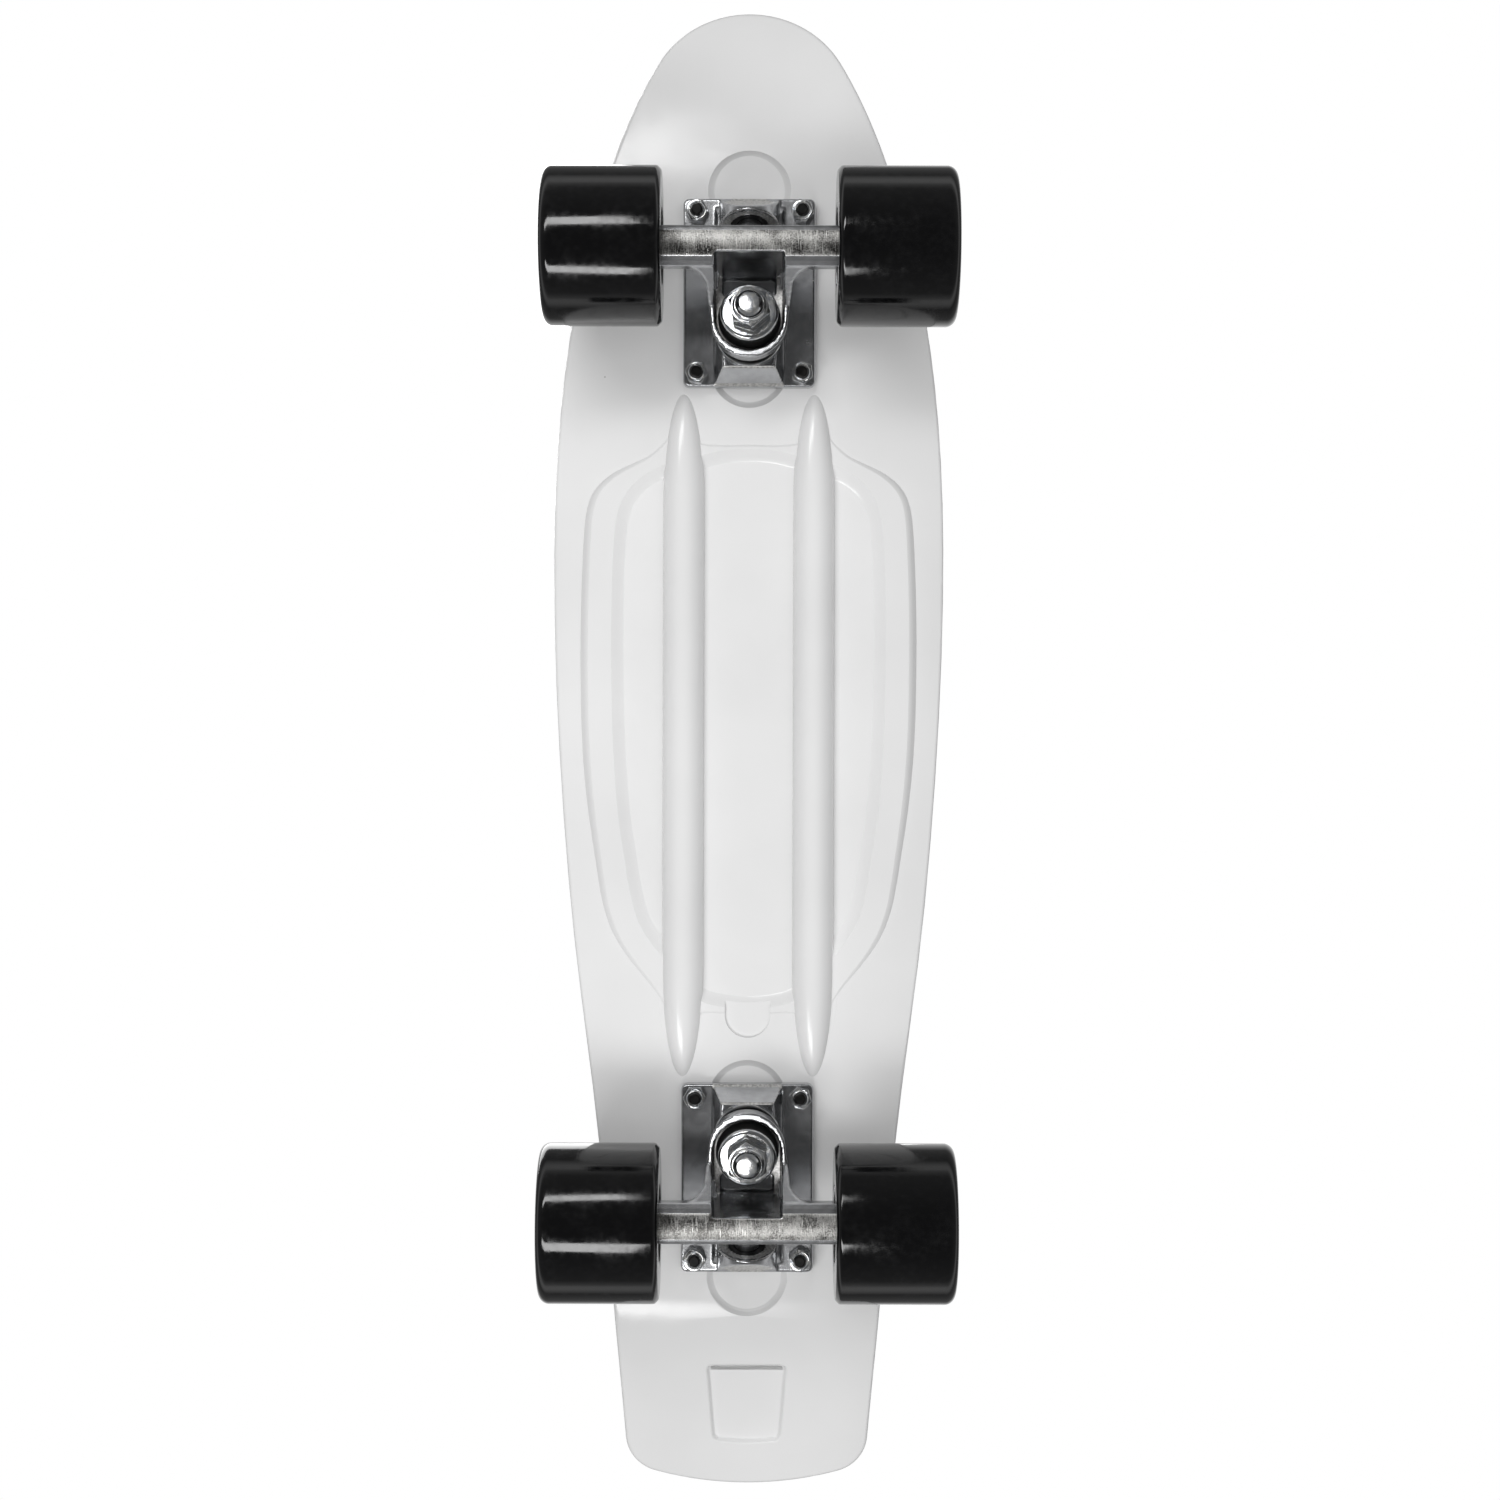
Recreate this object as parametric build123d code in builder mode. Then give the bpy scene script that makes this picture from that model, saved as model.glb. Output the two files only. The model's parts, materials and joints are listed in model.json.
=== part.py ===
"""A small moulded cruiser skateboard: a ribbed plastic deck on two sprung cast trucks with four soft wheels.

The board stands on its wheels. X runs along the axles, the nose points to -Y, the tail to +Y, and Z is up
from the ground. Sizes are in millimetres.
"""
import os
from math import asin, atan2, cos, degrees, pi, radians, sin, sqrt

from build123d import *

os.makedirs("parts", exist_ok=True)

# Wheels, bearings and axles
wheel_diameter = 60.0
wheel_width = 45.0
wheel_outer_rounding = 7.5
wheel_inner_bevel = 1.6
wheel_recess_radius = 15.0
wheel_inner_recess = 7.7
wheel_lip_radius = 9.6
bearing_outer_diameter = 22.0
bearing_width = 7.0
bearing_inner_land = 12.0
bearing_outer_land = 18.4
bearing_shield_thickness = 0.5
bearing_ball_diameter = 3.97
spacer_length = 10.0
spacer_outer_diameter = 10.4
axle_diameter = 7.94
axle_end = 2.5
axle_chamfer = 0.8
axle_nut_flats = 12.7
axle_nut_height = 8.0
speed_washer_diameter = 12.4
speed_washer_thickness = 1.0

# Trucks, measured from the deck's underside at the middle of the bolt pattern
truck_height = 49.0
axle_outboard = 10.3
hanger_width = 79.4
hanger_bar_outboard = 6.8
hanger_bar_inboard = 8.2
hanger_bar_depth = 8.0
hanger_bar_flat = 9.2
hanger_bar_back = 5.5
hanger_bar_edge = 0.8
hanger_bar_rounding = 0.7
hanger_arm_half_width = 17.0
hanger_shoulder_radius = 7.5
arm_rise_start = 4.0
ring_inboard = 15.5
ring_depth = 29.5
ring_radius = 14.6
ring_wall = 1.4
ring_floor = 6.5
ring_rim_height = 8.0
ring_hole_radius = 6.6
web_edge = 9.6
web_width = 20.4
web_hollow = 4.4
pivot_outboard = 26.39
pivot_depth = 10.83
pivot_nose_radius = 5.0
pivot_nose_root_radius = 6.4
pivot_nose_length = 19.5
pivot_nose_bare = 16.0
pivot_cup_wall = 1.8
pivot_cup_mouth = 1.5
pivot_boss_wall = 4.4
kingpin_lean = 10.0
kingpin_diameter = 9.5
kingpin_head_flats = 14.3
kingpin_head_height = 5.5
kingpin_tip = 2.2
kingpin_chamfer = 0.9
kingpin_nut_flats = 14.3
kingpin_nut_height = 6.6
kingpin_nut_collar = 1.9
kingpin_nut_shoulder = 0.9
bushing_radius = 12.0
lower_bushing_height = 10.0
upper_bushing_height = 9.0
upper_bushing_band = 3.0
cup_washer_thickness = 1.2
cup_washer_lip = 1.2
lower_washer_radius = 13.0
upper_washer_radius = 11.1
baseplate_width = 52.0
baseplate_length = 74.0
baseplate_thickness = 5.5
baseplate_corner = 2.5
baseplate_edge = 0.6
spine_base_width = 29.5
spine_top_width = 20.5
spine_end_run = 6.5
spine_waist_height = 8.0
spine_rounding = 1.2

# Deck fastenings, on the wide bolt pattern that such boards use
bolt_spacing_across = 41.3
bolt_spacing_along = 63.5
bolt_diameter = 5.0
bolt_head_diameter = 9.6
bolt_end = 1.6
nut_flats = 8.0
nut_height = 3.6
nut_collar = 1.4
nut_collar_step = 0.35
nut_turn = 30.0
hexagon_sides = 6

# Deck
deck_length = 588.4
deck_half_width = 77.2
deck_thickness = 11.0
widest_share = 0.3844
nose_radius = 41.6
nose_sweep = 60.0
nose_half_width = 56.5
nose_shoulder = 68.2
waist_half_width = 69.5
waist_share = 0.6127
tail_half_width = 47.6
tail_taper = 4.0
tail_bow = 9.0
tail_corner_radius = 16.0
crown_flat = 30.0
crown_radius = 214.0
nose_bend_length = 75.2
nose_bend_radius = 260.0
kick_length = 79.2
kick_radius = 60.0
kick_angle = 18.0
deck_top_rounding = 2.4
deck_bottom_rounding = 1.6
nose_overhang = 113.85
tail_overhang = 127.05

# Relief moulded into the deck's underside
rib_spacing = 51.4
rib_width = 20.0
rib_height = 6.5
rib_truck_gap = 38.2
rib_taper = 42.0
rim_front_gap = 55.4
rim_rear_gap = 64.2
rim_shoulder_half_width = 63.0
rim_shoulder = 24.0
rim_half_width = 67.4
rim_widest_share = 0.45
rim_hip_half_width = 56.0
rim_hip = 30.0
rim_corner_radius = 14.0
rim_root = 0.6
rim_slope = 4.6
rim_plateau = 7.8
panel_depth = 2.0
panel_slope = 5.4
panel_ease = 9.3
notch_radius = 8.9
notch_length = 12.6
notch_depth = 1.2
truck_recess_width = 30.0
truck_recess_length = 101.0
truck_recess_outboard = 6.0
truck_recess_depth = 2.0
truck_recess_slope = 3.5
tail_recess_wide = 31.0
tail_recess_narrow = 26.5
tail_recess_length = 33.5
tail_recess_start = 10.3
tail_recess_depth = 0.9
tail_recess_corner = 2.5
tail_recess_draft = 40.0
relief_steps = 4

# Clearances
press_gap = 0.02
axle_gap = 0.03
running_gap = 0.25
seat_gap = 0.1
bolt_gap = 0.3

# Levels and places worked out from the sizes above
axle_level = wheel_diameter / 2
deck_under = axle_level + truck_height
deck_top = deck_under + deck_thickness
axle_radius = axle_diameter / 2
hanger_end = hanger_width / 2
first_bearing = hanger_end + speed_washer_thickness
second_bearing = first_bearing + bearing_width + spacer_length
outer_washer = second_bearing + bearing_width
axle_nut_seat = outer_washer + speed_washer_thickness
axle_half_length = axle_nut_seat + axle_nut_height + axle_end
wheel_inner_face = first_bearing - wheel_inner_recess
wheel_outer_face = wheel_inner_face + wheel_width
lean = radians(kingpin_lean)
steer_rise = ring_depth - pivot_depth
steer_run = ring_inboard + pivot_outboard
steer_tilt = atan2(steer_rise, steer_run)

# The kingpin runs through the ring's centre, and its plane's normal points to the ground
kingpin_plane = Plane((0, -ring_inboard, -ring_depth), (1, 0, 0), (0, sin(lean), -cos(lean)))
# The hanger turns about the line from the ring's centre to the middle of its pivot nose
pivot_plane = Plane((0, pivot_outboard, -pivot_depth), (1, 0, 0), (0, cos(steer_tilt), sin(steer_tilt)))
# Faces seen along the axle, with the axle at the origin
axle_plane = Plane((0, axle_outboard, -truck_height), (0, 1, 0), (1, 0, 0))

# Stations along the kingpin, counted from the ring's middle, with the ground side positive
floor_face = ring_floor / 2
lower_bushing_face = -floor_face - seat_gap
lower_washer_face = lower_bushing_face - lower_bushing_height
kingpin_seat = lower_washer_face - cup_washer_thickness
upper_bushing_face = floor_face + seat_gap
upper_washer_face = upper_bushing_face + upper_bushing_height
kingpin_nut_seat = upper_washer_face + cup_washer_thickness
kingpin_nut_top = kingpin_nut_seat + kingpin_nut_height
kingpin_end = kingpin_nut_top + kingpin_nut_collar + kingpin_tip
head_top = -(ring_depth - kingpin_head_flats / 2 * sin(lean)) / cos(lean)
head_seat = head_top + kingpin_head_height


def beside_kingpin(along, outboard):
    """A point of the truck's side view, along the kingpin to the ground and outboard square to it."""
    y = -ring_inboard + along * sin(lean) + outboard * cos(lean)
    z = -ring_depth - along * cos(lean) + outboard * sin(lean)
    return (y, z)


def beside_steer_axis(along, down):
    """A point of the truck's side view, along the steering line past the pivot and down square to it."""
    y = pivot_outboard + along * cos(steer_tilt) + down * sin(steer_tilt)
    z = -pivot_depth + along * sin(steer_tilt) - down * cos(steer_tilt)
    return (y, z)


pivot_cup_radius = pivot_nose_radius + running_gap + pivot_cup_wall
pivot_boss_radius = pivot_cup_radius + pivot_boss_wall
half_plate = baseplate_length / 2

# Cast spine of the baseplate: sloped inboard end, leaning kingpin seat, low waist and pivot boss
with BuildPart() as spine:
    seat_inboard = beside_kingpin(kingpin_seat, -lower_washer_radius)
    seat_outboard = beside_kingpin(kingpin_seat, lower_washer_radius)
    with BuildSketch(Plane.YZ):
        Polygon(
            (-half_plate, 0),
            (-half_plate, -baseplate_thickness / 2),
            seat_inboard,
            seat_outboard,
            (seat_outboard[0] + spine_waist_height, -spine_waist_height),
            (half_plate - spine_end_run, -spine_waist_height),
            (half_plate, -baseplate_thickness / 2),
            (half_plate, 0),
            align=None,
        )
        fillet(vertices().sort_by(Axis.Y)[:2], radius=spine_rounding)
    extrude(amount=baseplate_width / 2, both=True)
    with BuildSketch(Plane.XZ):
        Polygon(
            (-spine_base_width / 2, 0),
            (spine_base_width / 2, 0),
            (spine_top_width / 2, seat_inboard[1]),
            (-spine_top_width / 2, seat_inboard[1]),
            align=None,
        )
        fillet(vertices().group_by(Axis.Y)[0], radius=spine_rounding)
    extrude(amount=baseplate_length, both=True, mode=Mode.INTERSECT)
    with BuildSketch(pivot_plane.offset(-pivot_cup_mouth)):
        Circle(pivot_boss_radius)
    extrude(amount=pivot_cup_mouth + half_plate - pivot_outboard + pivot_boss_radius)
    # The boss falls away from its rim to the plate's outboard end
    boss_shoulder = beside_steer_axis(0, pivot_boss_radius)
    with BuildSketch(Plane.YZ):
        Polygon(
            boss_shoulder,
            (half_plate, -baseplate_thickness / 2),
            (half_plate + pivot_boss_radius, -baseplate_thickness / 2),
            (half_plate + pivot_boss_radius, -truck_height),
            (boss_shoulder[0], -truck_height),
            align=None,
        )
    extrude(amount=baseplate_width, both=True, mode=Mode.SUBTRACT)

# Baseplate: a drilled flange under the spine, bored for the kingpin, its head and the pivot cup
with BuildPart() as baseplate:
    with BuildSketch():
        RectangleRounded(baseplate_width, baseplate_length, baseplate_corner)
    extrude(amount=-baseplate_thickness)
    chamfer(faces().sort_by(Axis.Z)[0].edges(), length=baseplate_edge)
    add(spine.part)
    with BuildSketch():
        RectangleRounded(baseplate_width, baseplate_length, baseplate_corner)
    extrude(amount=-truck_height, mode=Mode.INTERSECT)
    with BuildSketch(kingpin_plane.offset(head_seat)):
        Circle(kingpin_diameter / 2 + press_gap)
    extrude(amount=kingpin_seat - head_seat, mode=Mode.SUBTRACT)
    with BuildSketch(kingpin_plane.offset(head_seat)):
        RegularPolygon(kingpin_head_flats / 2 + bolt_gap, hexagon_sides, major_radius=False)
    extrude(amount=-2 * kingpin_head_height, mode=Mode.SUBTRACT)
    with BuildSketch(pivot_plane):
        Circle(pivot_cup_radius + press_gap)
    extrude(amount=-pivot_cup_mouth - pivot_nose_length, mode=Mode.SUBTRACT)
    with Locations((0, pivot_outboard, -pivot_depth)):
        Sphere(pivot_cup_radius + press_gap, mode=Mode.SUBTRACT)
    with BuildSketch(Plane.XY):
        with GridLocations(bolt_spacing_across, bolt_spacing_along, 2, 2):
            Circle(bolt_diameter / 2 + bolt_gap)
    extrude(amount=-truck_height, mode=Mode.SUBTRACT)

# Pivot cup: a thick round-bottomed socket pressed into the boss
with BuildPart() as pivot_cup:
    with BuildSketch(pivot_plane.offset(-pivot_cup_mouth)):
        Circle(pivot_cup_radius)
    extrude(amount=pivot_cup_mouth)
    with Locations((0, pivot_outboard, -pivot_depth)):
        Sphere(pivot_cup_radius)
    with BuildSketch(pivot_plane.offset(-pivot_cup_mouth)):
        Circle(2 * pivot_cup_radius)
    extrude(amount=-pivot_cup_radius, mode=Mode.SUBTRACT)
    with BuildSketch(pivot_plane.offset(-pivot_cup_mouth)):
        Circle(pivot_nose_radius + running_gap)
    extrude(amount=pivot_cup_mouth, mode=Mode.SUBTRACT)
    with Locations((0, pivot_outboard, -pivot_depth)):
        Sphere(pivot_nose_radius + running_gap, mode=Mode.SUBTRACT)

# Kingpin: a hexagon-headed bolt from the deck side to the nut
with BuildPart() as kingpin:
    with BuildSketch(kingpin_plane.offset(head_seat)):
        RegularPolygon(kingpin_head_flats / 2, hexagon_sides, major_radius=False)
    extrude(amount=head_top - head_seat)
    with BuildSketch(kingpin_plane.offset(head_seat)):
        Circle(kingpin_diameter / 2)
    extrude(amount=kingpin_end - head_seat)
    chamfer(edges().filter_by(GeomType.CIRCLE).sort_by(Axis.Z)[0], length=kingpin_chamfer)


def cup_washer_profile(face, radius, lip_side):
    """Half the section of a cup washer from the kingpin outwards, its lip turned round the bushing."""
    bore = kingpin_diameter / 2 + bolt_gap
    back = face + lip_side * cup_washer_thickness
    lip = face - lip_side * cup_washer_lip
    inner = radius - cup_washer_thickness
    return [(bore, face), (inner, face), (inner, lip), (radius, lip), (radius, back), (bore, back)]


# Section plane through the kingpin: across the board, then along the kingpin to the ground
kingpin_section = Plane(kingpin_plane.origin, (1, 0, 0), (0, cos(lean), sin(lean)))
kingpin_axis = Axis(kingpin_plane.origin, kingpin_plane.z_dir)

# Lower washer: flat cup between the baseplate's seat and the lower bushing
with BuildPart() as lower_washer:
    with BuildSketch(kingpin_section):
        with BuildLine():
            Polyline(*cup_washer_profile(lower_washer_face, lower_washer_radius, -1), close=True)
        make_face()
    revolve(axis=kingpin_axis)

# Lower bushing: a soft barrel between the baseplate and the hanger's ring
with BuildPart() as lower_bushing:
    lower_bushing_radius = lower_washer_radius - cup_washer_thickness - seat_gap
    with BuildSketch(kingpin_plane.offset(lower_washer_face)):
        Circle(lower_bushing_radius)
        Circle(kingpin_diameter / 2 + bolt_gap, mode=Mode.SUBTRACT)
    extrude(amount=lower_bushing_height)

# Upper bushing: a soft cone between the hanger's ring and the upper washer
with BuildPart() as upper_bushing:
    with BuildSketch(kingpin_section):
        with BuildLine():
            bushing_bore = kingpin_diameter / 2 + bolt_gap
            cup_lip = upper_washer_face - cup_washer_lip
            Polyline(
                (bushing_bore, upper_bushing_face),
                (bushing_radius, upper_bushing_face),
                (bushing_radius, upper_bushing_face + upper_bushing_band),
                (upper_washer_radius - cup_washer_thickness - seat_gap, cup_lip),
                (upper_washer_radius - cup_washer_thickness - seat_gap, upper_washer_face),
                (bushing_bore, upper_washer_face),
                close=True,
            )
        make_face()
    revolve(axis=kingpin_axis)

# Upper washer: a cup that holds the upper bushing under the nut
with BuildPart() as upper_washer:
    with BuildSketch(kingpin_section):
        with BuildLine():
            Polyline(*cup_washer_profile(upper_washer_face, upper_washer_radius, 1), close=True)
        make_face()
    revolve(axis=kingpin_axis)

# Kingpin nut: a lock nut with a round collar
with BuildPart() as kingpin_nut:
    with BuildSketch(kingpin_plane.offset(kingpin_nut_seat)):
        RegularPolygon(kingpin_nut_flats / 2, hexagon_sides, major_radius=False)
    extrude(amount=kingpin_nut_height)
    with BuildSketch(kingpin_plane.offset(kingpin_nut_top)):
        Circle(kingpin_nut_flats / 2 - kingpin_nut_shoulder)
    extrude(amount=kingpin_nut_collar)
    with BuildSketch(kingpin_plane.offset(kingpin_nut_seat)):
        Circle(kingpin_diameter / 2 + press_gap)
    extrude(amount=kingpin_nut_height + kingpin_nut_collar, mode=Mode.SUBTRACT)

# Plan of the hanger's ring and its flared arms
bar_inboard = axle_outboard - hanger_bar_inboard
bar_outboard = axle_outboard + hanger_bar_outboard
with BuildSketch() as arm_plan:
    with Locations((0, -ring_inboard)):
        Circle(ring_radius)
    Polygon(
        (-ring_radius, -ring_inboard),
        (ring_radius, -ring_inboard),
        (hanger_arm_half_width, bar_inboard),
        (hanger_arm_half_width, bar_outboard),
        (-hanger_arm_half_width, bar_outboard),
        (-hanger_arm_half_width, bar_inboard),
        align=None,
    )

# Hanger yoke: ring, arms and web cast in one, from its plan, its side view and the taper to its nose
with BuildPart() as yoke:
    with BuildSketch(Plane.XY):
        add(arm_plan.sketch_local)
        with Locations((0, bar_inboard)):
            Rectangle(
                2 * (hanger_arm_half_width + hanger_shoulder_radius),
                hanger_bar_inboard,
                align=(Align.CENTER, Align.MIN),
            )
        arm_corners = vertices().group_by(Axis.Y)[1].sort_by(Axis.X)[1:3]
        fillet(arm_corners, radius=hanger_shoulder_radius)
    extrude(amount=-2 * truck_height)
    seat_end = beside_kingpin(-floor_face, bushing_radius + ring_wall)
    with BuildSketch(Plane.YZ):
        Polygon(
            beside_kingpin(-floor_face, -ring_radius - ring_wall),
            beside_kingpin(ring_rim_height, -ring_radius - ring_wall),
            beside_kingpin(ring_rim_height, arm_rise_start),
            (bar_inboard, -truck_height - hanger_bar_depth / 2 + hanger_bar_rounding),
            (axle_outboard, -truck_height - hanger_bar_depth / 2),
            (bar_outboard, -truck_height),
            (bar_outboard, -truck_height + hanger_bar_back / 2),
            beside_steer_axis(-pivot_nose_bare, pivot_nose_root_radius),
            beside_steer_axis(-pivot_nose_length, -pivot_nose_root_radius / 2),
            seat_end,
            align=None,
        )
    extrude(amount=hanger_width, both=True, mode=Mode.INTERSECT)
    # The shoulders are no deeper than the bar, and the web behind the ring narrows to the nose
    shoulder_level = -truck_height + hanger_bar_back / 2
    with BuildSketch(Plane.XY.offset(shoulder_level)):
        Rectangle(2 * hanger_width, 2 * hanger_width)
        add(arm_plan.sketch_local, mode=Mode.SUBTRACT)
    extrude(amount=truck_height, mode=Mode.SUBTRACT)
    with BuildSketch(Plane.XZ.offset(-seat_end[0])):
        Polygon(
            (hanger_arm_half_width, shoulder_level),
            (pivot_nose_root_radius, -pivot_depth),
            (hanger_width, -pivot_depth),
            (hanger_width, shoulder_level),
            align=None,
        )
        mirror(about=Plane.YZ)
    extrude(amount=seat_end[0] - bar_outboard, mode=Mode.SUBTRACT)

# Hanger: the axle bar, the yoke with its curved shoulders, and the pivot nose
with BuildPart() as hanger:
    half_flat = hanger_bar_flat / 2
    with BuildSketch(axle_plane):
        Polygon(
            (-half_flat, -hanger_bar_depth),
            (half_flat, -hanger_bar_depth),
            (hanger_bar_outboard, -hanger_bar_depth + hanger_bar_edge),
            (hanger_bar_outboard, hanger_bar_back / 2),
            (hanger_bar_outboard / 2, hanger_bar_back),
            (-hanger_bar_inboard / 2, hanger_bar_back),
            (-hanger_bar_inboard, hanger_bar_back / 2),
            (-hanger_bar_inboard, -hanger_bar_depth / 2),
            align=None,
        )
        fillet(vertices(), radius=hanger_bar_rounding)
    extrude(amount=hanger_end, both=True)
    add(yoke.part)
    with BuildSketch(Plane.YZ):
        with BuildLine():
            Polyline(
                beside_steer_axis(0, 0),
                beside_steer_axis(-pivot_nose_length, 0),
                beside_steer_axis(-pivot_nose_length, pivot_nose_root_radius),
                beside_steer_axis(-pivot_cup_mouth - running_gap, pivot_nose_radius),
                beside_steer_axis(0, pivot_nose_radius),
                close=True,
            )
        make_face()
    revolve(axis=Axis(pivot_plane.origin, pivot_plane.z_dir))
    with Locations((0, pivot_outboard, -pivot_depth)):
        Sphere(pivot_nose_radius)
    # Cup for the upper bushing, open between the arms as far as the bar
    with BuildSketch(kingpin_plane.offset(floor_face)):
        Circle(ring_radius - ring_wall)
        with Locations((0, -(ring_inboard + bar_inboard) / 2)):
            Rectangle(2 * (ring_radius - ring_wall), ring_inboard + bar_inboard)
    extrude(amount=truck_height, mode=Mode.SUBTRACT)
    # Deeper hollow between the bushing's floor and the bar
    with BuildSketch(kingpin_plane.offset(floor_face)):
        with Locations((0, -(web_edge + ring_inboard + bar_inboard) / 2)):
            RectangleRounded(web_width, ring_inboard + bar_inboard - web_edge, ring_wall)
    extrude(amount=-web_hollow, mode=Mode.SUBTRACT)
    with BuildSketch(kingpin_plane.offset(-truck_height)):
        Circle(ring_hole_radius)
    extrude(amount=2 * truck_height, mode=Mode.SUBTRACT)
    with BuildSketch(axle_plane):
        Circle(axle_radius + press_gap)
    extrude(amount=hanger_width, both=True, mode=Mode.SUBTRACT)


# Axle: one steel rod through the hanger, chamfered at both ends
with BuildPart() as axle:
    with BuildSketch(axle_plane):
        Circle(axle_radius)
    extrude(amount=axle_half_length, both=True)
    chamfer(edges().filter_by(GeomType.CIRCLE), length=axle_chamfer)


def ring_pair(starts, length, inner_radius, outer_radius):
    """Matching rings round both ends of the axle, starting at the given distances from its middle."""
    with BuildPart() as rings:
        for start in starts:
            with BuildSketch(axle_plane.offset(start)):
                Circle(outer_radius)
                Circle(inner_radius, mode=Mode.SUBTRACT)
            extrude(amount=length)
        mirror(about=Plane.YZ)
    return rings


bearing_starts = (first_bearing, second_bearing)
on_axle = axle_radius + axle_gap
speed_washers = ring_pair(
    (hanger_end, outer_washer), speed_washer_thickness, on_axle, speed_washer_diameter / 2
)
bearing_spacers = ring_pair(
    (first_bearing + bearing_width,), spacer_length, on_axle, spacer_outer_diameter / 2
)
bearing_inner_rings = ring_pair(bearing_starts, bearing_width, on_axle, bearing_inner_land / 2)
cage_length = bearing_ball_diameter
cage_margin = (bearing_width - cage_length) / 2
bearing_cages = ring_pair(
    [start + cage_margin for start in bearing_starts],
    cage_length,
    bearing_inner_land / 2 + running_gap,
    bearing_outer_land / 2 - running_gap,
)

# Axle nuts: hexagon lock nuts that hold the wheels on
with BuildPart() as axle_nuts:
    with BuildSketch(axle_plane.offset(axle_nut_seat)):
        RegularPolygon(axle_nut_flats / 2, hexagon_sides, major_radius=False)
        Circle(on_axle, mode=Mode.SUBTRACT)
    extrude(amount=axle_nut_height)
    mirror(about=Plane.YZ)

# Half sections through a wheel: along the axle, then out from its middle
wheel_section = Plane(axle_plane.origin, (1, 0, 0), (0, -1, 0))
wheel_axis = Axis(axle_plane.origin, (1, 0, 0))
wheel_radius = wheel_diameter / 2
seat_radius = bearing_outer_diameter / 2 + press_gap
recess_floor = seat_radius + wheel_inner_bevel

# Wheel: cast soft tread and hub in one, seated on two bearings
with BuildPart() as wheel:
    with BuildSketch(wheel_section):
        with BuildLine():
            tread = Polyline(
                (wheel_inner_face, wheel_recess_radius),
                (wheel_inner_face, wheel_radius - wheel_inner_bevel),
                (wheel_inner_face + wheel_inner_bevel, wheel_radius),
                (wheel_outer_face - wheel_outer_rounding, wheel_radius),
            )
            shoulder = RadiusArc(
                tread @ 1,
                (wheel_outer_face, wheel_radius - wheel_outer_rounding),
                wheel_outer_rounding,
            )
            Polyline(
                shoulder @ 1,
                (wheel_outer_face, wheel_recess_radius),
                (outer_washer, recess_floor),
                (outer_washer, seat_radius),
                (second_bearing, seat_radius),
                (second_bearing, wheel_lip_radius),
                (first_bearing + bearing_width, wheel_lip_radius),
                (first_bearing + bearing_width, seat_radius),
                (first_bearing, seat_radius),
                (first_bearing, recess_floor),
                tread @ 0,
            )
        make_face()
    revolve(axis=wheel_axis)

# Outer rings of a wheel's two bearings
with BuildPart() as bearing_outer_rings:
    for start in bearing_starts:
        with BuildSketch(axle_plane.offset(start)):
            Circle(bearing_outer_diameter / 2)
            Circle(bearing_outer_land / 2, mode=Mode.SUBTRACT)
        extrude(amount=bearing_width)

# Thin dust shields, two to a bearing
with BuildPart() as bearing_shields:
    shield_inset = bearing_shield_thickness / 2
    for start in bearing_starts:
        for face in (start + shield_inset, start + bearing_width - shield_inset - bearing_shield_thickness):
            with BuildSketch(axle_plane.offset(face)):
                Circle(bearing_outer_land / 2 - press_gap)
                Circle(bearing_inner_land / 2 + running_gap, mode=Mode.SUBTRACT)
            extrude(amount=bearing_shield_thickness)

# One mounting bolt, sunk flush in the deck, and its lock nut under the baseplate
bolt_radius = bolt_diameter / 2
bolt_head_radius = bolt_head_diameter / 2
nut_seat = -baseplate_thickness
nut_bottom = nut_seat - nut_height - nut_collar
with BuildPart() as bolt:
    with BuildSketch(Plane.XZ):
        with BuildLine():
            Polyline(
                (0, deck_thickness),
                (bolt_head_radius, deck_thickness),
                (bolt_radius, deck_thickness - bolt_head_radius + bolt_radius),
                (bolt_radius, nut_bottom - bolt_end),
                (0, nut_bottom - bolt_end),
                close=True,
            )
        make_face()
    revolve(axis=Axis.Z)

with BuildPart() as lock_nut:
    with BuildSketch(Plane.XY.offset(nut_seat)):
        RegularPolygon(nut_flats / 2, hexagon_sides, major_radius=False, rotation=nut_turn)
    extrude(amount=-nut_height)
    with BuildSketch(Plane.XY.offset(nut_seat - nut_height)):
        Circle(nut_flats / 2 - nut_collar_step)
    extrude(amount=-nut_collar)
    with BuildSketch(Plane.XY.offset(nut_seat)):
        Circle(bolt_radius + press_gap)
    extrude(amount=nut_bottom - nut_seat, mode=Mode.SUBTRACT)

with BuildPart() as mounting_bolts:
    with GridLocations(bolt_spacing_across, bolt_spacing_along, 2, 2):
        add(bolt.part)

with BuildPart() as mounting_nuts:
    with GridLocations(bolt_spacing_across, bolt_spacing_along, 2, 2):
        add(lock_nut.part)

# Cross section of the deck: flat on top, crowned underneath beyond a flat middle
section_half = deck_half_width + deck_thickness
crown_rise = crown_radius - sqrt(crown_radius**2 - (section_half - crown_flat) ** 2)
with BuildSketch() as deck_section:
    with BuildLine():
        Line((-crown_flat, 0), (crown_flat, 0))
        TangentArc((crown_flat, 0), (section_half, crown_rise), tangent=(1, 0))
        TangentArc((-crown_flat, 0), (-section_half, crown_rise), tangent=(-1, 0))
        Polyline(
            (section_half, crown_rise),
            (section_half, deck_thickness),
            (-section_half, deck_thickness),
            (-section_half, crown_rise),
        )
    make_face()

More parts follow.
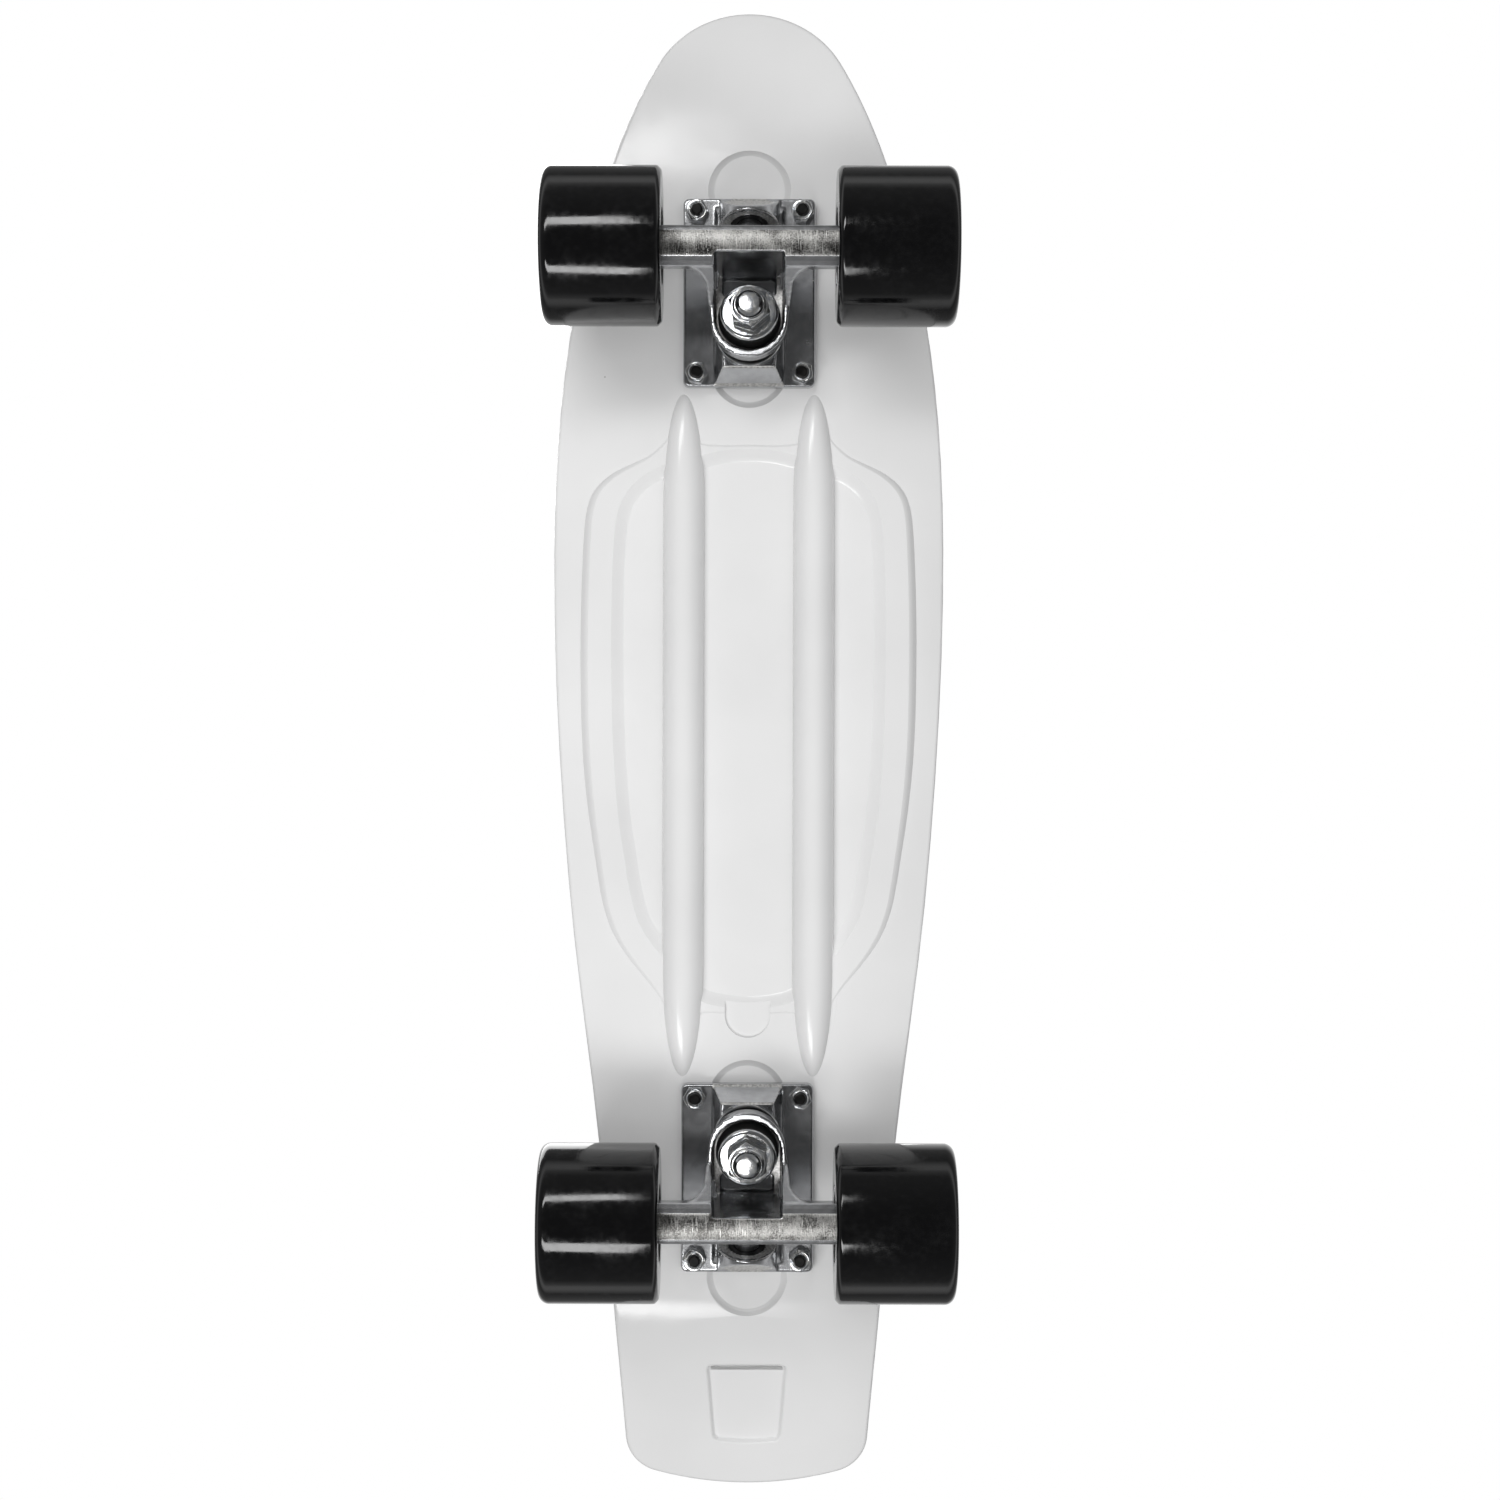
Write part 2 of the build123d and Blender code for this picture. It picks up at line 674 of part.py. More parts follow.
half_length = deck_length / 2
nose_bend_start = -half_length + nose_bend_length
kick_start = half_length - kick_length
kick = radians(kick_angle)
kick_end = (0, kick_start + kick_radius * sin(kick), deck_under + kick_radius * (1 - cos(kick)))
nose_angle = degrees(asin((nose_bend_length + deck_thickness) / nose_bend_radius))
nose_plane = Plane((0, nose_bend_start, deck_under), (1, 0, 0), (0, -1, 0))
kick_plane = Plane((0, kick_start, deck_under), (1, 0, 0), (0, -1, 0))
tail_plane = Plane(kick_end, (1, 0, 0), (0, -cos(kick), -sin(kick)))

front_truck = -half_length + nose_overhang
rear_truck = half_length - tail_overhang
truck_places = {
    "front": Location((0, front_truck, deck_under), (0, 0, 180)),
    "rear": Location((0, rear_truck, deck_under)),
}
rib_front = front_truck + rib_truck_gap
rib_rear = rear_truck - rib_truck_gap
rim_front = front_truck + rim_front_gap
rim_rear = rear_truck - rim_rear_gap
rim_middle = rim_front + rim_widest_share * (rim_rear - rim_front)


def relief_outline(front, rear, inset):
    """The rim's outline between two stations, drawn in by an inset."""
    with BuildSketch() as outline:
        with BuildLine():
            shoulder_point = (rim_shoulder_half_width, front + rim_shoulder)
            hip_point = (rim_hip_half_width, rear - rim_hip)
            Line((rib_spacing / 2, front), shoulder_point)
            ThreePointArc(shoulder_point, (rim_half_width, rim_middle), hip_point)
            Line(hip_point, (rib_spacing / 2, rear))
            mirror(about=Plane.YZ)
            Line((-rib_spacing / 2, front), (rib_spacing / 2, front))
            Line((-rib_spacing / 2, rear), (rib_spacing / 2, rear))
        make_face()
        offset(amount=-inset, kind=Kind.INTERSECTION)
        fillet(vertices(), radius=rim_corner_radius)
    return outline.sketch_local


def eased_steps(start, end, inset_start, inset_end):
    """Levels and insets of a moulded slope that starts and ends flat."""
    for step in range(relief_steps + 1):
        share = step / relief_steps
        ease = (1 - cos(pi * share)) / 2
        yield start + ease * (end - start), inset_start + share * (inset_end - inset_start)


# Deck: the section run along the board, bent up at the nose and kicked at the tail, cut to its outline
with BuildPart() as deck:
    with BuildSketch(nose_plane):
        add(deck_section.sketch_local)
    extrude(amount=nose_bend_start - kick_start)
    with BuildSketch(nose_plane):
        add(deck_section.sketch_local)
    revolve(
        axis=Axis((0, nose_bend_start, deck_under + nose_bend_radius), (-1, 0, 0)),
        revolution_arc=nose_angle,
    )
    with BuildSketch(kick_plane):
        add(deck_section.sketch_local)
    revolve(axis=Axis((0, kick_start, deck_under + kick_radius), (1, 0, 0)), revolution_arc=kick_angle)
    with BuildSketch(tail_plane):
        add(deck_section.sketch_local)
    extrude(amount=kick_start - half_length)
    with BuildSketch(Plane.XY):
        with BuildLine():
            sweep_out = radians(nose_sweep)
            taper = radians(tail_taper)
            nose_join = (nose_radius * sin(sweep_out), -half_length + nose_radius * (1 - cos(sweep_out)))
            tail_corner = (tail_half_width, half_length - tail_bow)
            ThreePointArc((-nose_join[0], nose_join[1]), (0, -half_length), nose_join)
            side = Spline(
                nose_join,
                (nose_half_width, -half_length + nose_shoulder),
                (deck_half_width, -half_length + widest_share * deck_length),
                (waist_half_width, -half_length + waist_share * deck_length),
                tail_corner,
                tangents=[(cos(sweep_out), sin(sweep_out)), (-sin(taper), cos(taper))],
            )
            mirror(side, about=Plane.YZ)
            ThreePointArc(tail_corner, (0, half_length), (-tail_half_width, half_length - tail_bow))
        make_face()
        fillet(vertices().group_by(Axis.Y)[-1], radius=tail_corner_radius)
    extrude(amount=deck_top + half_length, mode=Mode.INTERSECT)
    # Rounded edges, fuller on top
    steepest = sin(kick)
    walls = faces().filter_by(lambda face: abs(face.normal_at().Z) < steepest)
    top_faces = faces().filter_by(lambda face: face.normal_at().Z > steepest)
    under_faces = faces().filter_by(lambda face: face.normal_at().Z < -steepest)
    wall_edges = walls.edges()
    top_edges = [edge for edge in top_faces.edges() if edge in wall_edges]
    under_edges = [edge for edge in under_faces.edges() if edge in wall_edges]
    fillet(top_edges, radius=deck_top_rounding)
    fillet(under_edges, radius=deck_bottom_rounding)
    # Flat-topped rim that stands out of the crowned underside
    rim_foot = crown_radius - sqrt(crown_radius**2 - (rim_half_width - crown_flat) ** 2)
    for level, inset in eased_steps(deck_under + rim_foot + rim_root, deck_under, 0, rim_slope):
        with BuildSketch(Plane.XY.offset(level)):
            add(relief_outline(rim_front, rim_rear, inset))
    loft(ruled=True)
    # Panel sunk inside the rim, with a thumb notch at its tail end
    panel_edge = rim_slope + rim_plateau
    panel_floor = deck_under + panel_depth
    for level, inset in eased_steps(deck_under, panel_floor, panel_edge, panel_edge + panel_slope):
        with BuildSketch(Plane.XY.offset(level)):
            add(relief_outline(rim_front - panel_ease, rim_rear + panel_ease, inset))
    loft(ruled=True, mode=Mode.SUBTRACT)
    notch_station = rim_rear + panel_ease - panel_edge
    with BuildSketch(Plane.XY.offset(deck_under)):
        with Locations((0, notch_station + notch_length - notch_radius)):
            Circle(notch_radius)
        with Locations((0, notch_station)):
            Rectangle(2 * notch_radius, 2 * (notch_length - notch_radius))
    extrude(amount=notch_depth, mode=Mode.SUBTRACT)
    # Two half-round ribs with tapered ends
    rib_bow = (rib_height**2 + (rib_width / 2) ** 2) / (2 * rib_height)
    rib_axis_level = deck_under + rib_bow - rib_height
    rib_tip = rib_bow - rib_height
    for side_sign in (-1, 1):
        with BuildSketch(Plane((side_sign * rib_spacing / 2, 0, rib_axis_level), (0, 1, 0), (0, 0, 1))):
            with BuildLine():
                Line((rib_front, rib_tip), (rib_front, 0))
                Line((rib_front, 0), (rib_rear, 0))
                Line((rib_rear, 0), (rib_rear, rib_tip))
                TangentArc((rib_rear - rib_taper, rib_bow), (rib_rear, rib_tip), tangent=(1, 0))
                Line((rib_rear - rib_taper, rib_bow), (rib_front + rib_taper, rib_bow))
                TangentArc((rib_front + rib_taper, rib_bow), (rib_front, rib_tip), tangent=(-1, 0))
            make_face()
        revolve(
            axis=Axis((side_sign * rib_spacing / 2, 0, rib_axis_level), (0, -1, 0)),
            revolution_arc=180,
        )
    # Dished recess over each truck, and the bolt holes
    for place in truck_places.values():
        for depth, inset in eased_steps(0, truck_recess_depth, 0, truck_recess_slope):
            with BuildSketch(Plane(place * Location((0, truck_recess_outboard, depth), (0, 0, 90)))):
                SlotOverall(truck_recess_length - 2 * inset, truck_recess_width - 2 * inset)
        loft(ruled=True, mode=Mode.SUBTRACT)
        with Locations(place * Location((0, 0, deck_thickness))):
            with GridLocations(bolt_spacing_across, bolt_spacing_along, 2, 2):
                CounterSinkHole(
                    bolt_radius + bolt_gap,
                    bolt_head_radius + bolt_gap,
                    depth=2 * deck_thickness,
                    counter_sink_angle=90,
                )
    # Shallow bare plate moulded into the tail
    with BuildSketch(Plane(kick_end, (1, 0, 0), (0, -sin(kick), cos(kick)))):
        Polygon(
            (-tail_recess_wide / 2, tail_recess_start),
            (tail_recess_wide / 2, tail_recess_start),
            (tail_recess_narrow / 2, tail_recess_start + tail_recess_length),
            (-tail_recess_narrow / 2, tail_recess_start + tail_recess_length),
            align=None,
        )
        fillet(vertices(), radius=tail_recess_corner)
    extrude(amount=tail_recess_depth, taper=tail_recess_draft, mode=Mode.SUBTRACT)

deck.part.label = "deck"
export_step(deck.part, "parts/deck.step")

# Each truck and its fastenings, the front one turned to face the other way
truck_pieces = {
    "mounting_bolts": mounting_bolts,
    "mounting_nuts": mounting_nuts,
    "baseplate": baseplate,
    "pivot_cup": pivot_cup,
    "kingpin": kingpin,
    "lower_washer": lower_washer,
    "lower_bushing": lower_bushing,
    "hanger": hanger,
    "upper_bushing": upper_bushing,
    "upper_washer": upper_washer,
    "kingpin_nut": kingpin_nut,
    "axle": axle,
    "axle_nuts": axle_nuts,
    "speed_washers": speed_washers,
    "bearing_spacers": bearing_spacers,
    "bearing_inner_rings": bearing_inner_rings,
    "bearing_cages": bearing_cages,
}
for end, place in truck_places.items():
    for name, piece in truck_pieces.items():
        placed = piece.part.moved(place)
        placed.label = f"{end}_{name}"
        export_step(placed, f"parts/{placed.label}.step")

# Wheels with the bearing pieces that spin with them, one set on each end of each axle
wheel_pieces = {
    "wheel": wheel,
    "bearing_outer_rings": bearing_outer_rings,
    "bearing_shields": bearing_shields,
}
wheel_ends = {"front_right": 1, "front_left": -1, "rear_left": 1, "rear_right": -1}
for corner, outward in wheel_ends.items():
    place = truck_places[corner.split("_")[0]]
    for name, piece in wheel_pieces.items():
        shape = piece.part if outward > 0 else mirror(piece.part, about=Plane.YZ)
        placed = shape.moved(place)
        placed.label = f"{corner}_{name}"
        export_step(placed, f"parts/{placed.label}.step")
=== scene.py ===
import json
from math import cos, pi, radians, sin

import bpy
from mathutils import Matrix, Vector

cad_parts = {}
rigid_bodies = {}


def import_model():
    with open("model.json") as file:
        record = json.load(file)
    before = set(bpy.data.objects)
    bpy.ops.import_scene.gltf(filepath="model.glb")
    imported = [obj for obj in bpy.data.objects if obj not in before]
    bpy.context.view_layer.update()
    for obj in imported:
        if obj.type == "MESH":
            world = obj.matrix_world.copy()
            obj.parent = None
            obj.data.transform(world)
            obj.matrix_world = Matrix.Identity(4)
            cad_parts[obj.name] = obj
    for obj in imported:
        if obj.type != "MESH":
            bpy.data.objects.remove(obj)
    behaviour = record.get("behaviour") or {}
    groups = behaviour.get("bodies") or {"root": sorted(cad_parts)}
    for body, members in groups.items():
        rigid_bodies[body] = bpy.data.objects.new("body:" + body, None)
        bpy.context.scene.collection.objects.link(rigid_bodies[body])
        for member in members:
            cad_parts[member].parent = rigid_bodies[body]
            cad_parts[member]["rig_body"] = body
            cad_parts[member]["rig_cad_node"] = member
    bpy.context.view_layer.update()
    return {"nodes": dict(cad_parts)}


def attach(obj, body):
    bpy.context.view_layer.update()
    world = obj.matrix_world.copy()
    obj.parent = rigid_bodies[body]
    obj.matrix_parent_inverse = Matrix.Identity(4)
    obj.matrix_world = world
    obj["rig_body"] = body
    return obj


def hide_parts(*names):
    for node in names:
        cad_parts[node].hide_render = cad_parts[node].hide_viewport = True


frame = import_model()
scene = bpy.context.scene
scene.view_settings.view_transform = "Standard"

# Camera: it lies under the middle of the board and looks straight up at the underside, with the nose at
# the top of the picture. Its distance, its lens and its slight turn are those of the photograph.
camera_place = (0.00070, -0.00087, -1.018)
photo_turn = -0.00258
bpy.ops.object.camera_add(location=camera_place, rotation=(pi, 0, photo_turn))
camera = bpy.context.object
camera.name = "under_camera"
camera.data.sensor_width = 36
camera.data.lens = 66.75
scene.camera = camera

# Floor: a plain pale sheet of matt paper that the wheels stand on. It shows from above only, so that the
# camera under the board looks through it, and it keeps no light from the underside.
floor_size = 12


def hex_colour(code):
    """An sRGB hex value as linear red, green, blue and alpha."""
    parts = [int(code[i:i + 2], 16) / 255 for i in (1, 3, 5)]
    return [p / 12.92 if p <= 0.04045 else ((p + 0.055) / 1.055) ** 2.4 for p in parts] + [1]


def add_node(tree, kind, sockets=None, stops=(), **settings):
    """Add one node with its settings, its sockets filled with values or links, and the stops of its ramp."""
    node = tree.nodes.new(kind)
    for key, value in settings.items():
        setattr(node, key, value)
    for key, value in (sockets or {}).items():
        if isinstance(value, bpy.types.NodeSocket):
            tree.links.new(value, node.inputs[key])
        else:
            node.inputs[key].default_value = value
    for i, (place, shade) in enumerate(stops):
        stop = node.color_ramp.elements[i] if i < 2 else node.color_ramp.elements.new(place)
        stop.position, stop.color = place, hex_colour(shade)
    return node


bpy.ops.object.select_all(action="DESELECT")
bpy.ops.mesh.primitive_plane_add(size=floor_size)
floor = bpy.context.object
floor.name = "floor"
for ray in ("diffuse", "glossy", "transmission", "volume_scatter", "shadow"):
    setattr(floor, "visible_" + ray, False)
paper = bpy.data.materials.new("matt_white_paper")
paper.use_nodes = True
tree = paper.node_tree
tree.nodes.clear()
side = add_node(tree, "ShaderNodeNewGeometry")
sheet = add_node(tree, "ShaderNodeBsdfDiffuse", {"Color": hex_colour("#F2F2F2")})
clear = add_node(tree, "ShaderNodeBsdfTransparent")
mix = add_node(tree, "ShaderNodeMixShader", {
    0: side.outputs["Backfacing"], 1: sheet.outputs[0], 2: clear.outputs[0]})
add_node(tree, "ShaderNodeOutputMaterial", {"Surface": mix.outputs[0]})
floor.data.materials.append(paper)

# Studio: white all round for the camera. Polished surfaces see a dim room with a bright band round the
# horizon and a white ceiling. The soft fill comes from below, a little from the right, and from overhead.
world = bpy.data.worlds.new("studio")
scene.world = world
world.use_nodes = True
tree = world.node_tree
tree.nodes.clear()
rays = add_node(tree, "ShaderNodeLightPath")
sky = add_node(tree, "ShaderNodeTexCoord")
rooms = []
for lean_right, stops in (
    (0.0, ((0.0, "#FFFFFF"), (0.05, "#E0E0E0"), (0.12, "#808080"), (0.32, "#707070"), (0.42, "#E8E8E8"),
           (0.47, "#F0F0F0"), (0.5, "#BEBEBE"), (0.58, "#7A7A7A"), (0.75, "#6C6C6C"), (1.0, "#484848"))),
    (0.2, ((0.0, "#B0B0B0"), (0.42, "#A8A8A8"), (0.48, "#686868"), (0.52, "#303030"), (0.66, "#404040"),
           (0.8, "#A6A6A6"), (0.9, "#ECECEC"), (1.0, "#FFFFFF"))),
):
    way_down = (lean_right, 0, -(1 - lean_right ** 2) ** 0.5)
    below = add_node(tree, "ShaderNodeVectorMath", {
        0: sky.outputs["Generated"], 1: way_down}, operation="DOT_PRODUCT")
    depth = add_node(tree, "ShaderNodeMapRange", {"Value": below.outputs["Value"], "From Min": -1.0})
    rooms.append(add_node(tree, "ShaderNodeValToRGB", {0: depth.outputs[0]}, stops).outputs[0])
fill = add_node(tree, "ShaderNodeMix", {
    0: rays.outputs["Is Glossy Ray"], 6: rooms[1], 7: rooms[0]}, data_type="RGBA")
seen = add_node(tree, "ShaderNodeMix", {
    0: rays.outputs["Is Camera Ray"], 6: fill.outputs[2], 7: hex_colour("#FFFFFF")}, data_type="RGBA")
light = add_node(tree, "ShaderNodeBackground", {"Color": seen.outputs[2], "Strength": 1.0})
add_node(tree, "ShaderNodeOutputWorld", {"Surface": light.outputs[0]})

# Lights: two long soft boxes under the board, one beyond each end and off to the left, which draw the
# bright bands on the wheels, and a large one above the deck.
for name, place, turn, size, power in (
    ("nose_softbox", (-0.40, -0.52, -0.78), (radians(150), radians(-22), 0), (0.80, 0.14), 3.5),
    ("tail_softbox", (-0.40, 0.52, -0.82), (radians(210), radians(-22), 0), (0.84, 0.17), 4.7),
    ("top_softbox", (-0.5, -0.6, 1.3), (radians(-25), radians(-20), 0), (1.2, 1.2), 14.0),
):
    bpy.ops.object.light_add(type="AREA", location=place, rotation=turn)
    lamp = bpy.context.object
    lamp.name = name
    lamp.data.shape = "RECTANGLE"
    lamp.data.size, lamp.data.size_y = size
    lamp.data.energy = power

# Deck: one thick moulding of white polypropylene, ribbed and panelled underneath, bent up at the nose and
# kicked at the tail. It is injection moulded in one shot, and everything else is bolted to it.
mm = 0.001


def shade_steady(piece):
    """Shade the curves of the active piece smooth, with its large faces ruling the normals."""
    bpy.ops.object.shade_smooth_by_angle(angle=radians(28))
    steady = piece.modifiers.new("steady_normals", "WEIGHTED_NORMAL")
    steady.keep_sharp = True
    bpy.ops.object.modifier_apply(modifier=steady.name)


def piece_from(node, name):
    """A copy of a CAD node as a piece of its own, with its loose triangles merged and its curves smooth."""
    bpy.ops.object.select_all(action="DESELECT")
    source = frame["nodes"][node]
    source.select_set(True)
    bpy.context.view_layer.objects.active = source
    bpy.ops.object.duplicate()
    piece = bpy.context.object
    bpy.ops.object.parent_clear(type="CLEAR_KEEP_TRANSFORM")
    piece.name = name
    del piece["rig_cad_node"]
    piece.data.materials.clear()
    bpy.ops.object.mode_set(mode="EDIT")
    bpy.ops.mesh.select_all(action="SELECT")
    bpy.ops.mesh.remove_doubles(threshold=2e-6)
    bpy.ops.object.mode_set(mode="OBJECT")
    shade_steady(piece)
    return piece


def stand_for(piece, node, slot, *materials):
    """Dress a finished piece with its materials and let it stand for a CAD node, on the same body. Its slot
    is not used.
    """
    for material in materials:
        piece.data.materials.append(material)
    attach(piece, frame["nodes"][node]["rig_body"])
    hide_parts(node)


def line_drawn(name, points):
    """Draw a line of points in millimetres, and leave it selected in Edit Mode."""
    bpy.ops.object.select_all(action="DESELECT")
    bpy.ops.mesh.primitive_plane_add(size=1)
    piece = bpy.context.object
    piece.name = name
    bpy.ops.object.mode_set(mode="EDIT")
    bpy.ops.mesh.select_mode(type="VERT")
    bpy.ops.mesh.select_all(action="SELECT")
    bpy.ops.mesh.merge(type="CENTER")
    bpy.ops.transform.translate(value=[c * mm for c in points[0]])
    for here, there in zip(points, points[1:]):
        step = [(b - a) * mm for a, b in zip(here, there)]
        bpy.ops.mesh.extrude_vertices_move(TRANSFORM_OT_translate={"value": step})
    bpy.ops.mesh.select_all(action="SELECT")
    return piece


def plate_drawn(name, outline, level, steps):
    """Fill a drawn outline and raise it from a level in steps, each one drawn in and then up."""
    piece = line_drawn(name, [(x, y, level) for x, y in outline + outline[:1]])
    bpy.ops.mesh.remove_doubles(threshold=1e-6)
    bpy.ops.mesh.edge_face_add()
    bpy.ops.mesh.select_mode(type="FACE")
    for inset, rise in steps:
        if inset:
            bpy.ops.mesh.inset(thickness=inset * mm)
            bpy.ops.transform.translate(value=(0, 0, rise * mm))
        else:
            bpy.ops.mesh.extrude_region_move(TRANSFORM_OT_translate={"value": (0, 0, rise * mm)})
    bpy.ops.mesh.select_all(action="SELECT")
    bpy.ops.mesh.fill_holes(sides=0)
    bpy.ops.mesh.normals_make_consistent(inside=False)
    bpy.ops.object.mode_set(mode="OBJECT")
    return piece


def rounded_through(half, cuts=4):
    """A closed smooth line through half an outline and its mirror image."""
    points = half + [(-x, y) for x, y in reversed(half) if x]
    line = []
    for i in range(len(points)):
        a, b, c, d = (points[(i + step) % len(points)] for step in (-1, 0, 1, 2))
        for cut in range(cuts):
            t = cut / cuts
            line.append(tuple(
                b[n] + t / 2 * (c[n] - a[n] + t * (2 * a[n] - 5 * b[n] + 4 * c[n] - d[n]
                                                   + t * (3 * (b[n] - c[n]) + d[n] - a[n])))
                for n in (0, 1)))
    return line


def cut_with(piece, tool, operation):
    """Shape a piece with a second one, and take that one away."""
    bpy.ops.object.select_all(action="DESELECT")
    piece.select_set(True)
    bpy.context.view_layer.objects.active = piece
    cut = piece.modifiers.new("cut", "BOOLEAN")
    cut.operation = operation
    cut.solver = "EXACT"
    cut.object = tool
    bpy.ops.object.modifier_apply(modifier=cut.name)
    bpy.data.objects.remove(tool)
    bpy.ops.object.shade_smooth_by_angle(angle=radians(20))


deck = piece_from("deck", "deck_moulding")
bpy.ops.mesh.customdata_custom_splitnormals_clear()

# The relief under the deck is drawn again with the softer lines that the mould gives it: a low pad with
# curved shoulders, a sunk panel in it, a thumb notch, two rounded ribs, and the bare plate in the tail.
# It is drawn in millimetres, half of each outline at a time, and each side is a run of steps in and up.
deck_under = 79.0
well_below = 70.0
relief_half, relief_nose, relief_tail = 90, -160, 150
relief_area = [
    (-relief_half, relief_nose), (relief_half, relief_nose),
    (relief_half, relief_tail), (-relief_half, relief_tail),
]
skim = 0.01
plain = plate_drawn("plain_underside", relief_area, well_below, [(0, deck_under - skim - well_below)])
cut_with(deck, plain, "DIFFERENCE")
pad_root = 86
pad_outline = rounded_through([
    (0, -124.6), (-10, -124.4), (-17.5, -125), (-22, -128), (-26, -129.6), (-30, -129.6), (-33.6, -127.4),
    (-36.8, -123.4), (-41, -119.6), (-46, -116.8), (-51.3, -114), (-56, -110.9), (-60, -107.2),
    (-62.8, -103.2), (-64.6, -98.6), (-65.6, -93.5), (-66.1, -88), (-66.6, -78.6), (-67.2, -60), (-67.4, -40),
    (-67.1, -15), (-66.2, 5), (-64.4, 24), (-61.9, 42.5), (-60.6, 51.5), (-58.8, 61.5), (-55.8, 71),
    (-52, 78.5), (-47.5, 85.2), (-43.5, 90.4), (-39.5, 95.6), (-36.8, 100), (-34.2, 104.6), (-30.4, 107.8),
    (-26, 108.6), (-21.5, 107.8), (-16.5, 106.4), (-10, 106.5), (0, 106.9),
])
pad_side = [(0, -2.8), (0.6, -0.55), (0.9, -1.35), (0.9, -1.35), (0.9, -0.9), (0.8, -0.4)]
cut_with(deck, plate_drawn("pad", pad_outline, pad_root, pad_side), "UNION")
panel_outline = rounded_through([
    (0, -120), (-10, -119.5), (-19, -117.4), (-26, -116.2), (-33.5, -113.8), (-40, -110.6), (-45.1, -106.8),
    (-48.8, -102.4), (-51.3, -97.6), (-52.8, -92), (-53.6, -85), (-54.2, -75), (-54.6, -60), (-54.7, -40),
    (-54.3, -15), (-53.4, 5), (-51.8, 25), (-49.2, 42.5), (-47.5, 53), (-44.8, 64), (-42.4, 69.6),
    (-39.4, 74.4), (-36.4, 78.4), (-32.5, 83), (-26, 91.5), (-19, 98.4), (-10, 100.9), (0, 101.8),
])
panel_side = [(0, 8.35), (0.6, 0.35), (1.3, 0.75), (1.5, 1.0), (1.3, 0.7), (0.6, 0.25)]
cut_with(deck, plate_drawn("panel", panel_outline, well_below, panel_side), "DIFFERENCE")
notch_half, notch_start, notch_middle, notch_rise = 8.95, 97.5, 103.7, 10.22
notch_outline = [(-notch_half, notch_start), (notch_half, notch_start)] + [
    (notch_half * cos(turn * pi / 16), notch_middle + notch_half * sin(turn * pi / 16)) for turn in range(17)
]
cut_with(deck, plate_drawn("notch", notch_outline, well_below, [(0, notch_rise)]), "DIFFERENCE")
dish_side = [(0, 8.9), (0.7, 0.7), (0.9, 1.0), (1.0, 0.6), (4.0, 0.4), (5.0, 0.3)]
for middle, reach in ((-221.7, 16.5), (-151.3, 15.6), (136.9, 15.6), (206.6, 16.0)):
    disc = [(reach * cos(turn * pi / 36), middle + reach * sin(turn * pi / 36)) for turn in range(72)]
    cut_with(deck, plate_drawn("dish", disc, well_below, dish_side), "DIFFERENCE")
rib_half, rib_taper, rib_deep, rib_straight = 8.2, 44, 9.5, 185.5
rib_apart, rib_start, rib_level, rib_root = 25.7 * mm, -99.3 * mm, 82 * mm, 86 * mm
for side in (-1, 1):
    bpy.ops.object.select_all(action="DESELECT")
    bpy.ops.mesh.primitive_uv_sphere_add(segments=48, ring_count=32, radius=mm, rotation=(radians(90), 0, 0))
    rib = bpy.context.object
    rib.name = "rib"
    bpy.ops.object.transform_apply()
    bpy.ops.object.mode_set(mode="EDIT")
    bpy.ops.mesh.select_all(action="SELECT")
    bpy.ops.transform.resize(value=(rib_half, rib_taper, rib_deep))
    bpy.ops.mesh.select_all(action="DESELECT")
    bpy.ops.object.mode_set(mode="OBJECT")
    for corner in rib.data.vertices:
        corner.select = corner.co.y > -0.1 * mm
    bpy.ops.object.mode_set(mode="EDIT")
    bpy.ops.transform.translate(value=(0, rib_straight * mm, 0))
    bpy.ops.object.mode_set(mode="OBJECT")
    rib.location = (side * rib_apart, rib_start, rib_level)
    bpy.ops.object.transform_apply()
    bpy.ops.object.mode_set(mode="EDIT")
    bpy.ops.mesh.select_all(action="SELECT")
    bpy.ops.mesh.bisect(plane_co=(0, 0, rib_root), plane_no=(0, 0, 1), use_fill=True, clear_outer=True)
    bpy.ops.object.mode_set(mode="OBJECT")
    cut_with(deck, rib, "UNION")
plate_outline = rounded_through([
    (0, 8.4), (-10, 8.4), (-13.6, 8.5), (-16.4, 9.6), (-17.3, 12.4), (-17, 16.5), (-16.2, 29), (-15.4, 40),
    (-14.9, 43.2), (-13, 45.6), (-9.8, 46.4), (0, 47),
])
plate_side = [(0, 2.7), (0.9, 0.2), (0.7, 0.4), (0.9, 1.4), (0.4, 0.2)]
tail_bend = (0, 233.54 * mm, 81.94 * mm)
tail_kick = radians(18)
tail_plate = plate_drawn("tail_plate", plate_outline, -3, plate_side)
tail_plate.location, tail_plate.rotation_euler.x = tail_bend, tail_kick
bpy.ops.object.transform_apply()
cut_with(deck, tail_plate, "DIFFERENCE")
shade_steady(deck)


def empty_material(name):
    """A new material, with Object coordinates as its only node so far."""
    material = bpy.data.materials.new(name)
    material.use_nodes = True
    tree = material.node_tree
    tree.nodes.clear()
    return material, tree, add_node(tree, "ShaderNodeTexCoord").outputs["Object"]


def coat(tree, sockets):
    """Close a material with a Principled shader that has these sockets filled."""
    shader = add_node(tree, "ShaderNodeBsdfPrincipled", sockets)
    add_node(tree, "ShaderNodeOutputMaterial", {"Surface": shader.outputs[0]})


